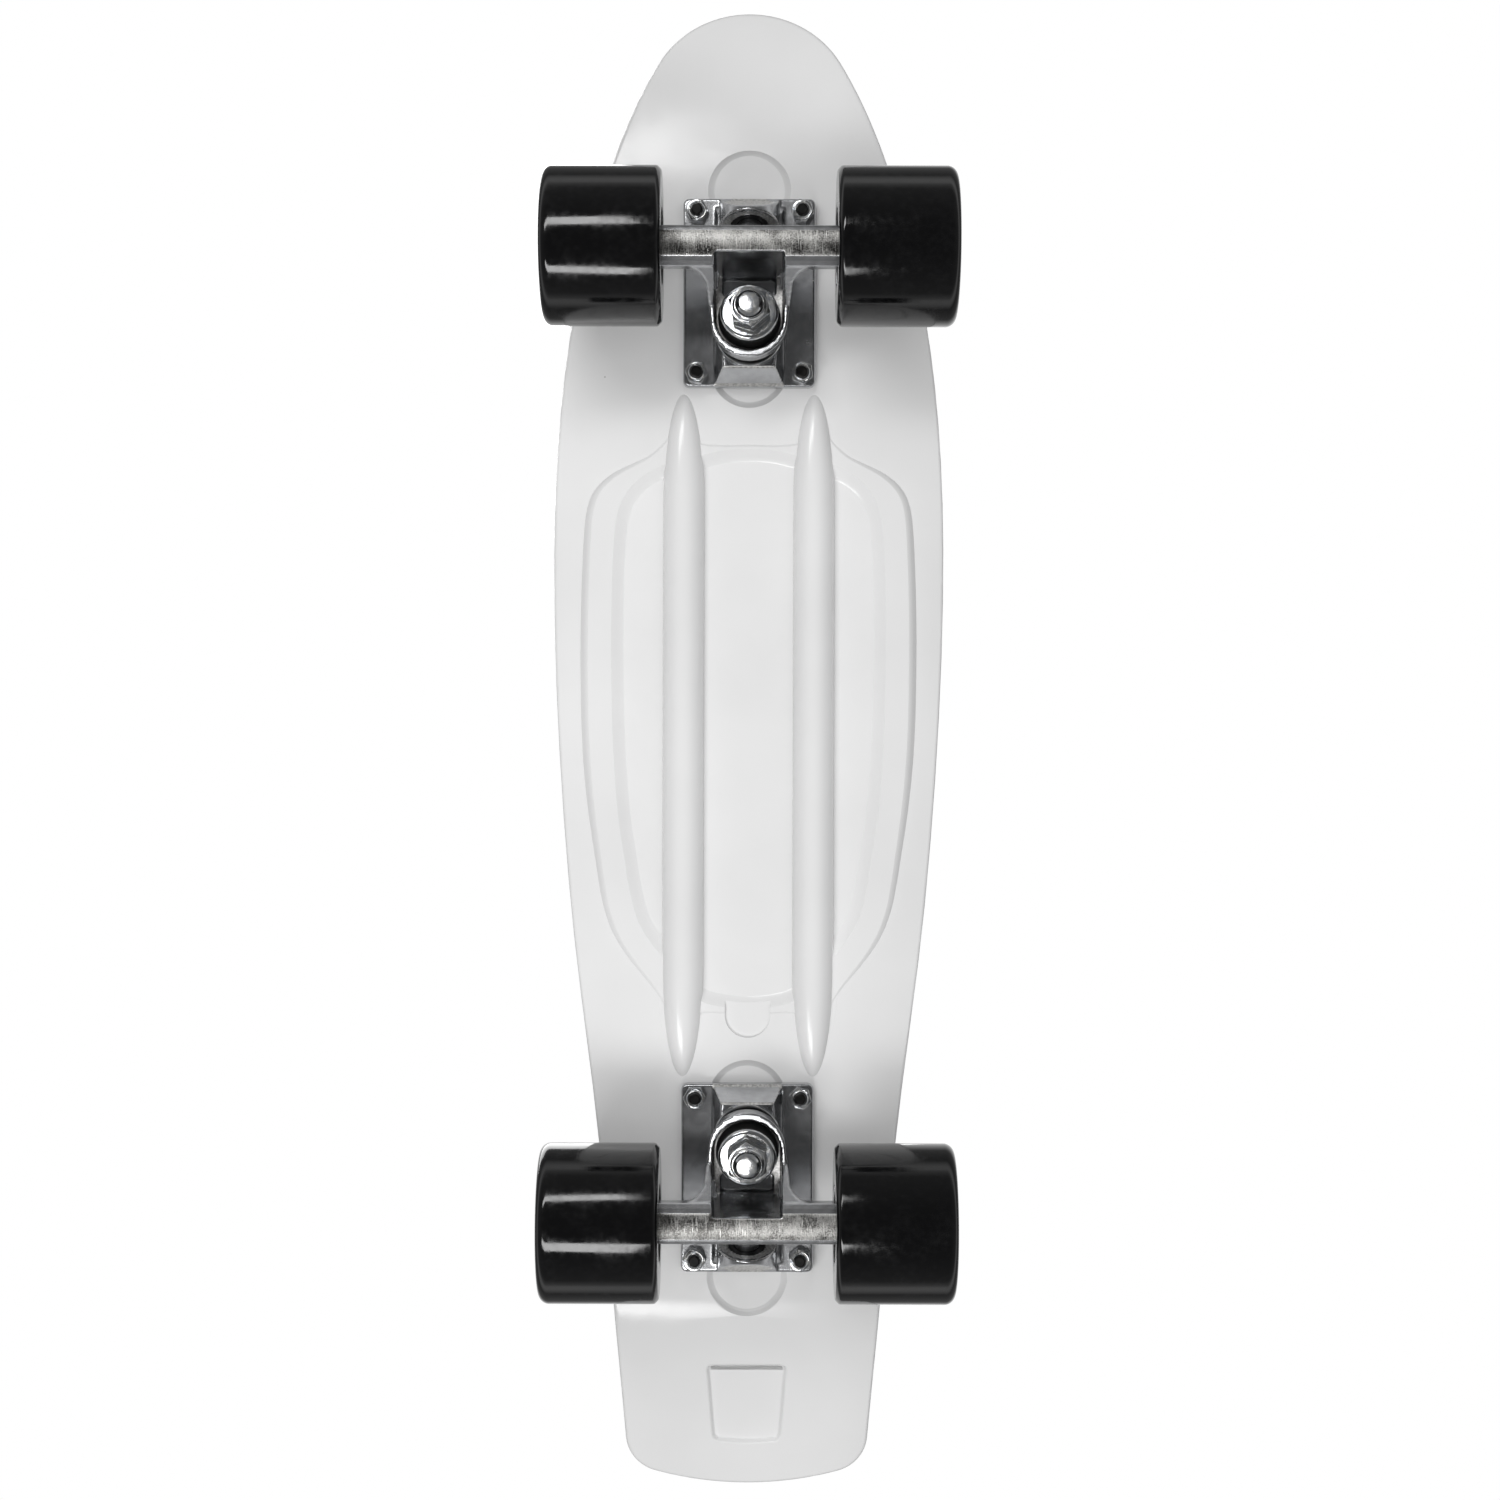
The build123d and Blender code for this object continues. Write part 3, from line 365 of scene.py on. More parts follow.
# Moulded polypropylene is a milky white with a soft gloss. The eye sees slow clouds of flow in its
# colour, a fine orange peel from the mould, and here and there a dark speck of dust in the plastic.
flow_size = 70 * mm
peel_size = 1.6 * mm
sink_size = 26 * mm
haze_size = 9 * mm
speck_spacing = 24 * mm
speck_radius = 0.3 * mm
deck_plastic, tree, at = empty_material("moulded_polypropylene")
flow = add_node(tree, "ShaderNodeTexNoise", {"Vector": at, "Scale": 1 / flow_size, "Detail": 3.0})
milk = add_node(tree, "ShaderNodeValToRGB", {0: flow.outputs["Fac"]}, ((0.3, "#E4E4E4"), (0.7, "#EBEBEB")))
dust = add_node(tree, "ShaderNodeTexVoronoi", {"Vector": at, "Scale": 1 / speck_spacing})
spot = add_node(tree, "ShaderNodeMath", {
    0: dust.outputs["Distance"], 1: speck_radius / speck_spacing}, operation="LESS_THAN")
pick = add_node(tree, "ShaderNodeSeparateColor", {0: dust.outputs["Color"]})
few = add_node(tree, "ShaderNodeMath", {0: pick.outputs[0], 1: 0.62}, operation="GREATER_THAN")
speck = add_node(tree, "ShaderNodeMath", {0: spot.outputs[0], 1: few.outputs[0]}, operation="MULTIPLY")
skin = add_node(tree, "ShaderNodeMix", {
    0: speck.outputs[0], 6: milk.outputs[0], 7: hex_colour("#9C9B98")}, data_type="RGBA")
haze = add_node(tree, "ShaderNodeTexNoise", {"Vector": at, "Scale": 1 / haze_size, "Detail": 4.0})
sheen = add_node(tree, "ShaderNodeMapRange", {"Value": haze.outputs["Fac"], "To Min": 0.14, "To Max": 0.24})
sink = add_node(tree, "ShaderNodeTexNoise", {"Vector": at, "Scale": 1 / sink_size, "Detail": 1.0})
sunk = add_node(tree, "ShaderNodeBump", {"Height": sink.outputs["Fac"], "Distance": 0.12 * mm})
peel = add_node(tree, "ShaderNodeTexNoise", {"Vector": at, "Scale": 1 / peel_size, "Detail": 2.0})
peeled = add_node(tree, "ShaderNodeBump", {
    "Height": peel.outputs["Fac"], "Distance": 0.012 * mm, "Normal": sunk.outputs[0]})
coat(tree, {
    "Base Color": skin.outputs[2], "Roughness": sheen.outputs[0], "Normal": peeled.outputs[0], "IOR": 1.49})
stand_for(deck, "deck", "deck_plastic", deck_plastic)

# Waffle grip: small raised diamonds in rows over the deck's top, for the shoes to hold on to. They are
# moulded in one with the deck, and stop short of its edges and of the bolt heads.
grip_pitch = 5.0 * mm
grip_groove = 1.5 * mm
grip_wall = 0.25 * mm
grip_rise = 0.45 * mm
grip_bevel = 0.85 * mm
grip_root = 0.2 * mm
grip_margin = 5.5 * mm
grip_rows = 106
bolt_clearing = 9.0 * mm
bolt_half_wide, bolt_half_long = 20.65 * mm, 31.75 * mm


def middle_of(node):
    """The middle of a CAD node's box, in metres."""
    source = frame["nodes"][node]
    return sum((source.matrix_world @ Vector(corner) for corner in source.bound_box), Vector()) / 8


truck_stations = {end: middle_of(f"{end}_mounting_bolts").y for end in ("front", "rear")}
bolt_corners = [(x * bolt_half_wide, y * bolt_half_long) for x in (-1, 1) for y in (-1, 1)]
bolt_places = [(x, station + y) for station in truck_stations.values() for x, y in bolt_corners]
above = 0.3
bpy.ops.object.select_all(action="DESELECT")
bpy.ops.mesh.primitive_grid_add(
    x_subdivisions=grip_rows, y_subdivisions=grip_rows, size=grip_rows * grip_pitch,
    location=(0, 0, above), rotation=(0, 0, radians(45)),
)
grip = bpy.context.object
grip.name = "deck_waffle_grip"
bpy.ops.object.transform_apply()
drop = grip.modifiers.new("drop_onto_deck", "SHRINKWRAP")
drop.target = deck
drop.wrap_method = "PROJECT"
drop.use_project_z = True
drop.use_positive_direction = False
drop.use_negative_direction = True
bpy.ops.object.modifier_apply(modifier=drop.name)


def on_deck(x, y):
    """Whether the deck's top lies under a point and its margin all round, away from the bolts."""
    if any((x - bx) ** 2 + (y - by) ** 2 < bolt_clearing ** 2 for bx, by in bolt_places):
        return False
    for turn in range(8):
        around = (x + grip_margin * cos(turn * pi / 4), y + grip_margin * sin(turn * pi / 4), above)
        hit, _, normal, _ = deck.ray_cast(around, (0, 0, -1))
        if not hit or normal.z < 0.9:
            return False
    return True


bpy.ops.object.mode_set(mode="EDIT")
bpy.ops.mesh.select_all(action="DESELECT")
bpy.ops.object.mode_set(mode="OBJECT")
for face in grip.data.polygons:
    face.select = not on_deck(face.center.x, face.center.y)
bpy.ops.object.mode_set(mode="EDIT")
bpy.ops.mesh.select_mode(type="FACE")
bpy.ops.mesh.delete(type="FACE")
bpy.ops.mesh.select_all(action="SELECT")
bpy.ops.mesh.inset(thickness=grip_groove / 2, use_individual=True)
bpy.ops.mesh.select_all(action="INVERT")
bpy.ops.mesh.delete(type="FACE")
bpy.ops.mesh.select_all(action="SELECT")
bpy.ops.transform.translate(value=(0, 0, -grip_root))
bpy.ops.mesh.extrude_region_move(TRANSFORM_OT_translate={"value": (0, 0, grip_root + grip_wall)})
bpy.ops.mesh.inset(thickness=grip_bevel, depth=grip_rise, use_individual=True)
bpy.ops.mesh.select_all(action="SELECT")
bpy.ops.mesh.normals_make_consistent(inside=False)
bpy.ops.object.mode_set(mode="OBJECT")
grip.data.materials.append(deck_plastic)
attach(grip, "board")

# Baseplates: one for each truck, cast in aluminium with a drilled flange, a spine that the kingpin leans
# out of and a boss for the pivot. They are tumbled bright and bolted under the deck.
casting_cell = 0.42 * mm
casting_ease = 4


def cast_from(node, name, cell, rounds):
    """A copy of a CAD casting, drawn again in small cells and eased, so that its edges come out rounded."""
    piece = piece_from(node, name)
    skin = piece.modifiers.new("cast_skin", "REMESH")
    skin.mode = "VOXEL"
    skin.voxel_size = cell
    bpy.ops.object.modifier_apply(modifier=skin.name)
    ease = piece.modifiers.new("eased_edges", "SMOOTH")
    ease.factor = 0.5
    ease.iterations = rounds
    bpy.ops.object.modifier_apply(modifier=ease.name)
    bpy.ops.object.shade_smooth()
    return piece


swell_size = 8 * mm
pit_size = 0.9 * mm
grain_size = 3 * mm

# Polished cast aluminium mirrors the room a little darkly. The eye sees the slight swell of a surface
# that was tumbled and not machined, fine pits, and patches that took the polish less well.
casting, tree, at = empty_material("polished_cast_aluminium")
grain = add_node(tree, "ShaderNodeTexNoise", {"Vector": at, "Scale": 1 / grain_size, "Detail": 5.0})
tone = add_node(tree, "ShaderNodeValToRGB", {0: grain.outputs["Fac"]}, ((0.3, "#AEAFB1"), (0.7, "#BEBFC1")))
polish = add_node(tree, "ShaderNodeMapRange", {"Value": grain.outputs["Fac"], "To Min": 0.20, "To Max": 0.30})
swell = add_node(tree, "ShaderNodeTexNoise", {"Vector": at, "Scale": 1 / swell_size, "Detail": 1.0})
swollen = add_node(tree, "ShaderNodeBump", {"Height": swell.outputs["Fac"], "Distance": 0.05 * mm})
pit = add_node(tree, "ShaderNodeTexNoise", {"Vector": at, "Scale": 1 / pit_size, "Detail": 3.0})
pitted = add_node(tree, "ShaderNodeBump", {
    "Height": pit.outputs["Fac"], "Distance": 0.010 * mm, "Normal": swollen.outputs[0]})
coat(tree, {
    "Base Color": tone.outputs[0], "Roughness": polish.outputs[0], "Normal": pitted.outputs[0],
    "Metallic": 1.0})
sand_size = 0.8 * mm

# Raw cast aluminium is left as it came from the mould where the polishing stones don't reach: round the
# pivot, on the spine's end and between the arms. It is paler and grainy, with a dull sparkle. On the
# spine's end its paler tone is also a painted reflection of the white deck.
raw_casting_and_painted_reflection, tree, at = empty_material("raw_cast_aluminium_and_painted_reflection")
sand = add_node(tree, "ShaderNodeTexNoise", {"Vector": at, "Scale": 1 / sand_size, "Detail": 4.0})
tone = add_node(tree, "ShaderNodeValToRGB", {0: sand.outputs["Fac"]}, ((0.35, "#A9A8A6"), (0.65, "#E0DFDD")))
matt = add_node(tree, "ShaderNodeMapRange", {"Value": sand.outputs["Fac"], "To Min": 0.34, "To Max": 0.56})
sandy = add_node(tree, "ShaderNodeBump", {"Height": sand.outputs["Fac"], "Distance": 0.12 * mm})
coat(tree, {
    "Base Color": tone.outputs[0], "Roughness": matt.outputs[0], "Normal": sandy.outputs[0],
    "Metallic": 1.0})
spine_half = 13.5 * mm
boss_reach = 11.5 * mm
for end, outward in (("front", -1), ("rear", 1)):
    plate = cast_from(f"{end}_baseplate", f"{end}_baseplate_casting", casting_cell, casting_ease)
    cup = frame["nodes"][f"{end}_pivot_cup"]
    corners = [cup.matrix_world @ corner.co for corner in cup.data.vertices]
    middle = sum(corners, Vector()) / len(corners)
    for face in plate.data.polygons:
        on_boss = (face.center - middle).length < boss_reach and face.normal.z < -0.3
        # The spine's end faces that look down and inboard take the paler raw finish, partly as a painted
        # reflection of the deck.
        inboard = -0.85 < outward * face.normal.y < -0.2 and face.normal.z < -0.4
        face.material_index = int(on_boss or inboard and abs(face.center.x) < spine_half)
    stand_for(plate, f"{end}_baseplate", "truck_casting", casting, raw_casting_and_painted_reflection)

# Pivot cups: thick black sockets that let the hangers' noses turn without rattling. They are moulded in
# polyurethane and pressed into the baseplates' bosses.
dull_size = 6 * mm
skin_size = 0.8 * mm

# Black polyurethane is nearly black with a dull satin skin, which is greasy in some places and chalky in
# others.
urethane_rubber, tree, at = empty_material("black_polyurethane")
dull = add_node(tree, "ShaderNodeTexNoise", {"Vector": at, "Scale": 1 / dull_size, "Detail": 4.0})
shade = add_node(tree, "ShaderNodeValToRGB", {0: dull.outputs["Fac"]}, ((0.35, "#070707"), (0.75, "#141414")))
satin = add_node(tree, "ShaderNodeMapRange", {"Value": dull.outputs["Fac"], "To Min": 0.34, "To Max": 0.56})
chalk = add_node(tree, "ShaderNodeTexNoise", {"Vector": at, "Scale": 1 / skin_size, "Detail": 2.0})
chalky = add_node(tree, "ShaderNodeBump", {"Height": chalk.outputs["Fac"], "Distance": 0.012 * mm})
coat(tree, {
    "Base Color": shade.outputs[0], "Roughness": satin.outputs[0], "Normal": chalky.outputs[0], "IOR": 1.5})
for end in ("front", "rear"):
    cup = piece_from(f"{end}_pivot_cup", f"{end}_pivot_socket")
    stand_for(cup, f"{end}_pivot_cup", "black_rubber", urethane_rubber)

# Mounting bolts: eight countersunk machine screws with a cross recess, let into the deck's top flush.
# They are turned from steel, blackened, and hold the baseplates.
bolt_top, bolt_neck, bolt_tip = 11.0, 8.7, -12.1
bolt_head, bolt_radius = 4.8, 2.5
bolt_thread, bolt_pitch, bolt_thread_start, bolt_turns = 0.4, 0.8, -5.0, 7


def turned(name, profile, steps=64):
    """Turn a section of (radius, height) points in millimetres round the Z axis, as on a lathe."""
    piece = line_drawn(name, [(radius, 0, height) for radius, height in profile])
    bpy.ops.mesh.spin(steps=steps, angle=2 * pi, center=(0, 0, 0), axis=(0, 0, 1))
    bpy.ops.mesh.select_all(action="SELECT")
    bpy.ops.mesh.remove_doubles(threshold=1e-6)
    bpy.ops.mesh.normals_make_consistent(inside=False)
    bpy.ops.object.mode_set(mode="OBJECT")
    bpy.ops.object.shade_smooth_by_angle(angle=radians(32))
    return piece


def fitted(pattern, name, places):
    """Copies of a modelled pattern, each with its own mesh, turned and moved to their places and joined."""
    copies = []
    for place, turn in places:
        bpy.ops.object.select_all(action="DESELECT")
        pattern.select_set(True)
        bpy.context.view_layer.objects.active = pattern
        bpy.ops.object.duplicate()
        copies.append(bpy.context.object)
        copies[-1].location, copies[-1].rotation_euler = place, turn
        bpy.ops.object.transform_apply()
    for copy in copies:
        copy.select_set(True)
    bpy.ops.object.join()
    piece = bpy.context.object
    piece.name = name
    return piece


def threaded(radius, depth, pitch, start, turns):
    """The zigzag section of a screw thread that starts at a height, and rises or falls by its pitch."""
    points = [(radius, start)]
    for turn in range(turns):
        points += [(radius - depth, start + (turn + 0.5) * pitch), (radius, start + (turn + 1) * pitch)]
    return points


bolt = turned("bolt_pattern", [
    (0, bolt_top - 0.02), (bolt_head - 0.2, bolt_top - 0.02), (bolt_head, bolt_top - 0.2),
    (bolt_radius, bolt_neck - 0.1),
    *threaded(bolt_radius, bolt_thread, -bolt_pitch, bolt_thread_start, bolt_turns),
    (bolt_radius - bolt_thread, bolt_tip + 0.15), (1.7, bolt_tip), (0, bolt_tip),
], 32)
recess_long, recess_wide, recess_deep = 4.6 * mm, 1.1 * mm, 2.2 * mm
bpy.ops.object.select_all(action="DESELECT")
bpy.ops.mesh.primitive_cube_add(size=1)
cross = bpy.context.object
bpy.ops.object.mode_set(mode="EDIT")
bpy.ops.transform.resize(value=(recess_long, recess_wide, 2 * recess_deep))
bpy.ops.mesh.select_all(action="DESELECT")
bpy.ops.object.mode_set(mode="OBJECT")
for face in cross.data.polygons:
    face.select = face.normal.z < -0.9
bpy.ops.object.mode_set(mode="EDIT")
bpy.ops.transform.resize(value=(0.35, 0.8, 1))
bpy.ops.object.mode_set(mode="OBJECT")
cross.location.z = bolt_top * mm
bpy.ops.object.transform_apply()
bpy.ops.object.duplicate()
other = bpy.context.object
other.rotation_euler.z = radians(90)
bpy.ops.object.transform_apply()
cut_with(bolt, cross, "DIFFERENCE")
cut_with(bolt, other, "DIFFERENCE")
soot_size = 2.5 * mm
tool_mark = 0.35 * mm

# Black oxide steel is a thin dark bloom on the metal: a soft brownish black with a low metal sheen, which
# is rubbed greyer in patches.
black_oxide, tree, at = empty_material("black_oxide_steel")
soot = add_node(tree, "ShaderNodeTexNoise", {"Vector": at, "Scale": 1 / soot_size, "Detail": 4.0})
bloom = add_node(tree, "ShaderNodeValToRGB", {0: soot.outputs["Fac"]}, ((0.4, "#0A0A0A"), (0.8, "#262523")))
rubbed = add_node(tree, "ShaderNodeMapRange", {"Value": soot.outputs["Fac"], "To Min": 0.3, "To Max": 0.5})
mark = add_node(tree, "ShaderNodeTexNoise", {"Vector": at, "Scale": 1 / tool_mark, "Detail": 1.0})
marked = add_node(tree, "ShaderNodeBump", {"Height": mark.outputs["Fac"], "Distance": 0.008 * mm})
coat(tree, {
    "Base Color": bloom.outputs[0], "Roughness": rubbed.outputs[0], "Normal": marked.outputs[0],
    "Metallic": 0.6})
for end, station in truck_stations.items():
    bolts = fitted(bolt, f"{end}_countersunk_bolts", [
        ((x, station + y, deck_under * mm), (0, 0, radians(17 + 40 * i)))
        for i, (x, y) in enumerate(bolt_corners)
    ])
    stand_for(bolts, f"{end}_mounting_bolts", "black_steel", black_oxide)
bpy.data.objects.remove(bolt)

# Mounting nuts: eight small lock nuts under the baseplates, pressed from steel and zinc plated, each with
# a dark nylon ring in its collar that grips the bolt.
nylon_edge, nylon_level = 3.25 * mm, -9.5 * mm


def hexagon_nut(name, flats, section):
    """A hexagon bar of a width across its flats, turned down to a closed ring section in millimetres."""
    heights = [height for _, height in section]
    blank = turned(name + "_blank", section + section[:1], 48)
    bpy.ops.object.select_all(action="DESELECT")
    bpy.ops.mesh.primitive_cylinder_add(
        vertices=6, radius=flats / 2 / cos(pi / 6) * mm, depth=2 * (max(heights) - min(heights)) * mm,
        location=(0, 0, (max(heights) + min(heights)) / 2 * mm),
    )
    nut = bpy.context.object
    nut.name = name
    bpy.ops.object.transform_apply()
    cut_with(nut, blank, "INTERSECT")
    soft = nut.modifiers.new("broken_edges", "BEVEL")
    soft.width = 0.12 * mm
    soft.segments = 2
    soft.angle_limit = radians(40)
    bpy.ops.object.modifier_apply(modifier=soft.name)
    bpy.ops.object.shade_smooth_by_angle(angle=radians(24))
    return nut


mounting_nut = hexagon_nut("mounting_nut_pattern", 8.0, [
    (2.52, -5.5), (3.9, -5.5), (4.7, -5.95), (4.7, -9.15), (3.85, -9.65), (3.4, -9.7), (3.2, -9.55),
    (3.1, -10.2), (2.85, -10.5), (2.52, -10.5),
])
plate_size = 1.6 * mm
dent_size = 2.2 * mm

# Bright zinc plate is a cool silver. The eye sees a mirror that is broken up by small dents from the
# barrel, with a faint blue and straw bloom of the passivation.
zinc, tree, at = empty_material("bright_zinc_plate")
bloom = add_node(tree, "ShaderNodeTexNoise", {"Vector": at, "Scale": 1 / plate_size, "Detail": 4.0})
tone = add_node(tree, "ShaderNodeValToRGB", {0: bloom.outputs["Fac"]}, ((0.32, "#C6CAD0"), (0.70, "#E2E1DD")))
gloss = add_node(tree, "ShaderNodeMapRange", {"Value": bloom.outputs["Fac"], "To Min": 0.12, "To Max": 0.26})
dent = add_node(tree, "ShaderNodeTexNoise", {"Vector": at, "Scale": 1 / dent_size, "Detail": 2.0})
dented = add_node(tree, "ShaderNodeBump", {"Height": dent.outputs["Fac"], "Distance": 0.06 * mm})
coat(tree, {
    "Base Color": tone.outputs[0], "Roughness": gloss.outputs[0], "Normal": dented.outputs[0],
    "Metallic": 1.0})
fleck_size = 1.2 * mm

# Nylon is a waxy near black with a faint mottle where the bolt has cut its thread in it.
nylon, tree, at = empty_material("black_nylon")
fleck = add_node(tree, "ShaderNodeTexNoise", {"Vector": at, "Scale": 1 / fleck_size, "Detail": 3.0})
wax = add_node(tree, "ShaderNodeValToRGB", {0: fleck.outputs["Fac"]}, ((0.35, "#080808"), (0.75, "#1B1B1C")))
waxy = add_node(tree, "ShaderNodeMapRange", {"Value": fleck.outputs["Fac"], "To Min": 0.35, "To Max": 0.55})
coat(tree, {
    "Base Color": wax.outputs[0], "Roughness": waxy.outputs[0], "IOR": 1.53})
for face in mounting_nut.data.polygons:
    out = (face.center.x ** 2 + face.center.y ** 2) ** 0.5
    face.material_index = int(out < nylon_edge and face.center.z < nylon_level)
for end, station in truck_stations.items():
    nuts = fitted(mounting_nut, f"{end}_plated_lock_nuts", [
        ((x, station + y, deck_under * mm), (0, 0, radians(30 + 7 * i)))
        for i, (x, y) in enumerate(bolt_corners)
    ])
    stand_for(nuts, f"{end}_mounting_nuts", "zinc_steel", zinc, nylon)
bpy.data.objects.remove(mounting_nut)

# Kingpins: one bolt through each truck, leaning towards the board's middle. It is headed and threaded
# from steel bar and zinc plated, with its hexagon head held in the baseplate.
lean = radians(10)
ring_inboard, ring_level = 15.5 * mm, 49.5 * mm
pin_places = {
    "front": ((0, truck_stations["front"] + ring_inboard, ring_level), (pi - lean, 0, 0)),
    "rear": ((0, truck_stations["rear"] - ring_inboard, ring_level), (pi + lean, 0, 0)),
}
pin_flats, pin_head, pin_seat, pin_tip, pin_radius = 14.3, -28.69, -23.19, 24.25, 4.75
pin_thread, pin_pitch, pin_thread_start, pin_turns = 0.5, 1.25, 13.0, 8


def on_kingpins(pattern, name, node, slot, *materials):
    """Fit a pattern on both kingpins, let the copies stand for the trucks' nodes, and take it away."""
    for end in truck_stations:
        piece = fitted(pattern, f"{end}_{name}", [pin_places[end]])
        stand_for(piece, f"{end}_{node}", slot, *materials)
    bpy.data.objects.remove(pattern)


kingpin = turned("kingpin_pattern", [
    (0, pin_seat - 1.0), (pin_radius, pin_seat - 1.0),
    *threaded(pin_radius, pin_thread, pin_pitch, pin_thread_start, pin_turns),
    (4.2, pin_tip - 0.5), (3.8, pin_tip - 0.15), (2.6, pin_tip), (0, pin_tip),
], 40)
head = hexagon_nut("kingpin_head_pattern", pin_flats, [
    (0.01, pin_head), (6.9, pin_head), (8.3, pin_head + 0.8), (8.3, pin_seat), (0.01, pin_seat),
])
bpy.ops.object.select_all(action="DESELECT")
head.select_set(True)
kingpin.select_set(True)
bpy.context.view_layer.objects.active = kingpin
bpy.ops.object.join()
on_kingpins(kingpin, "leaning_kingpin", "kingpin", "zinc_steel", zinc)

# Lower washers: flat cups pressed from steel sheet and zinc plated. Each lies on the baseplate's seat and
# keeps the lower bushing round.
lower_washer = turned("lower_washer_pattern", [
    (5.05, -13.35), (11.5, -13.35), (11.75, -13.1), (11.8, -12.4), (12.1, -12.15), (12.7, -12.15),
    (13.0, -12.5), (13.0, -13.5), (12.8, -14.1), (12.4, -14.45), (11.9, -14.55), (5.05, -14.55),
    (5.05, -13.35),
])
on_kingpins(lower_washer, "lower_cup_washer", "lower_washer", "zinc_steel", zinc)

# Lower bushings: soft black barrels between the baseplates and the hangers' rings. They are cast in
# polyurethane, and squeeze to let the board lean.
lower_bushing = turned("lower_bushing_pattern", [
    (5.05, -13.35), (11.3, -13.35), (11.65, -13.0), (11.7, -12.0), (11.85, -10.5), (11.9, -8.5),
    (11.85, -6.0), (11.6, -4.3), (11.35, -3.6), (10.9, -3.35), (5.05, -3.35), (5.05, -13.35),
])
on_kingpins(lower_bushing, "lower_barrel_bushing", "lower_bushing", "black_rubber", urethane_rubber)

# Hangers: one casting for each truck with the axle bar, two flared arms, the ring for the bushings and
# the pivot nose. They are cast in aluminium and polished, and the bar's flat is ground on a belt.
bar_flat_level = 22.0 * mm
bar_half_flat = 4.6 * mm
bar_crown = 0.55 * mm
bar_depth = 2.0 * mm
axle_rows = {end: middle_of(f"{end}_axle").y for end in truck_stations}
sparkle_size = 0.55 * mm
scratch_width = 0.3 * mm
scratch_length = 6 * mm
smear_size = 8 * mm

# Ground aluminium scatters the light, so it is paler than the polished skin. The eye sees the sparkle of
# the grit, long crossed scratches, both drawn wider than the real ones so that they show, and dull smears.
ground_flat, tree, at = empty_material("belt_ground_aluminium")
lines = None
for turn in (-62, -24, 15, 48):
    lay = add_node(tree, "ShaderNodeMapping", {
        "Vector": at, "Rotation": (0, 0, radians(turn)),
        "Scale": (1 / scratch_width, 1 / scratch_length, 1 / scratch_length)})
    scratch = add_node(tree, "ShaderNodeTexNoise", {"Vector": lay.outputs[0], "Scale": 1.0, "Detail": 1.0})
    lines = scratch.outputs["Fac"] if lines is None else add_node(
        tree, "ShaderNodeMath", {0: lines, 1: scratch.outputs["Fac"]}, operation="MAXIMUM").outputs[0]
scored = add_node(tree, "ShaderNodeMapRange", {"Value": lines, "From Min": 0.66, "From Max": 0.76})
smear = add_node(tree, "ShaderNodeTexNoise", {"Vector": at, "Scale": 1 / smear_size, "Detail": 5.0})
grit = add_node(tree, "ShaderNodeTexNoise", {"Vector": at, "Scale": 1 / sparkle_size, "Detail": 3.0})
speckle = add_node(tree, "ShaderNodeMix", {0: 0.45, 2: smear.outputs["Fac"], 3: grit.outputs["Fac"]})
tone = add_node(tree, "ShaderNodeValToRGB", {0: speckle.outputs[0]}, ((0.42, "#5E5D5B"), (0.58, "#C6C5C2")))
bright = add_node(tree, "ShaderNodeMix", {
    0: scored.outputs[0], 6: tone.outputs[0], 7: hex_colour("#F2F1EE")}, data_type="RGBA")
rough = add_node(tree, "ShaderNodeMapRange", {
    "Value": speckle.outputs[0], "From Min": 0.35, "From Max": 0.65, "To Min": 0.26, "To Max": 0.46})
gritty = add_node(tree, "ShaderNodeBump", {"Height": grit.outputs["Fac"], "Distance": 0.05 * mm})
cut = add_node(tree, "ShaderNodeBump", {
    "Height": scored.outputs[0], "Distance": 0.03 * mm, "Normal": gritty.outputs[0]})
coat(tree, {
    "Base Color": bright.outputs[2], "Roughness": rough.outputs[0], "Normal": cut.outputs[0],
    "Metallic": 1.0})
web_floor = 3.25 * mm
for end, row in axle_rows.items():
    hanger = cast_from(f"{end}_hanger", f"{end}_hanger_casting", casting_cell, casting_ease)
    for corner in hanger.data.vertices:
        rise = 1 - (corner.co.z - bar_flat_level) / bar_depth
        if rise > 0:
            corner.co.z += rise * bar_crown * min(1, ((corner.co.y - row) / bar_half_flat) ** 2)
    (_, ring_y, ring_z), _ = pin_places[end]
    outward = 1 if end == "rear" else -1
    for face in hanger.data.polygons:
        along = outward * (face.center.y - ring_y) * sin(lean) - (face.center.z - ring_z) * cos(lean)
        facing = outward * face.normal.y * sin(lean) - face.normal.z * cos(lean)
        on_bar = abs(face.center.y - row) < bar_half_flat + 0.3 * mm and face.normal.z < -0.9
        if on_bar and face.center.z < bar_flat_level + bar_crown + 0.2 * mm:
            face.material_index = 1
        elif facing > 0.8 and abs(along - web_floor) < 0.5 * mm:
            face.material_index = 2
    stand_for(hanger, f"{end}_hanger", "truck_casting", casting, ground_flat, raw_casting_and_painted_reflection)

# Upper bushings: soft black cones between the hangers' rings and the upper washers. They are cast in
# polyurethane, like the barrels on the other side.
upper_bushing = turned("upper_bushing_pattern", [
    (5.05, 3.35), (11.5, 3.35), (11.85, 3.55), (12.0, 4.0), (12.0, 6.0), (11.8, 6.7), (10.1, 10.7),
    (9.85, 11.2), (9.8, 11.6), (9.8, 12.1), (9.6, 12.35), (5.05, 12.35), (5.05, 3.35),
])
on_kingpins(upper_bushing, "upper_cone_bushing", "upper_bushing", "black_rubber", urethane_rubber)

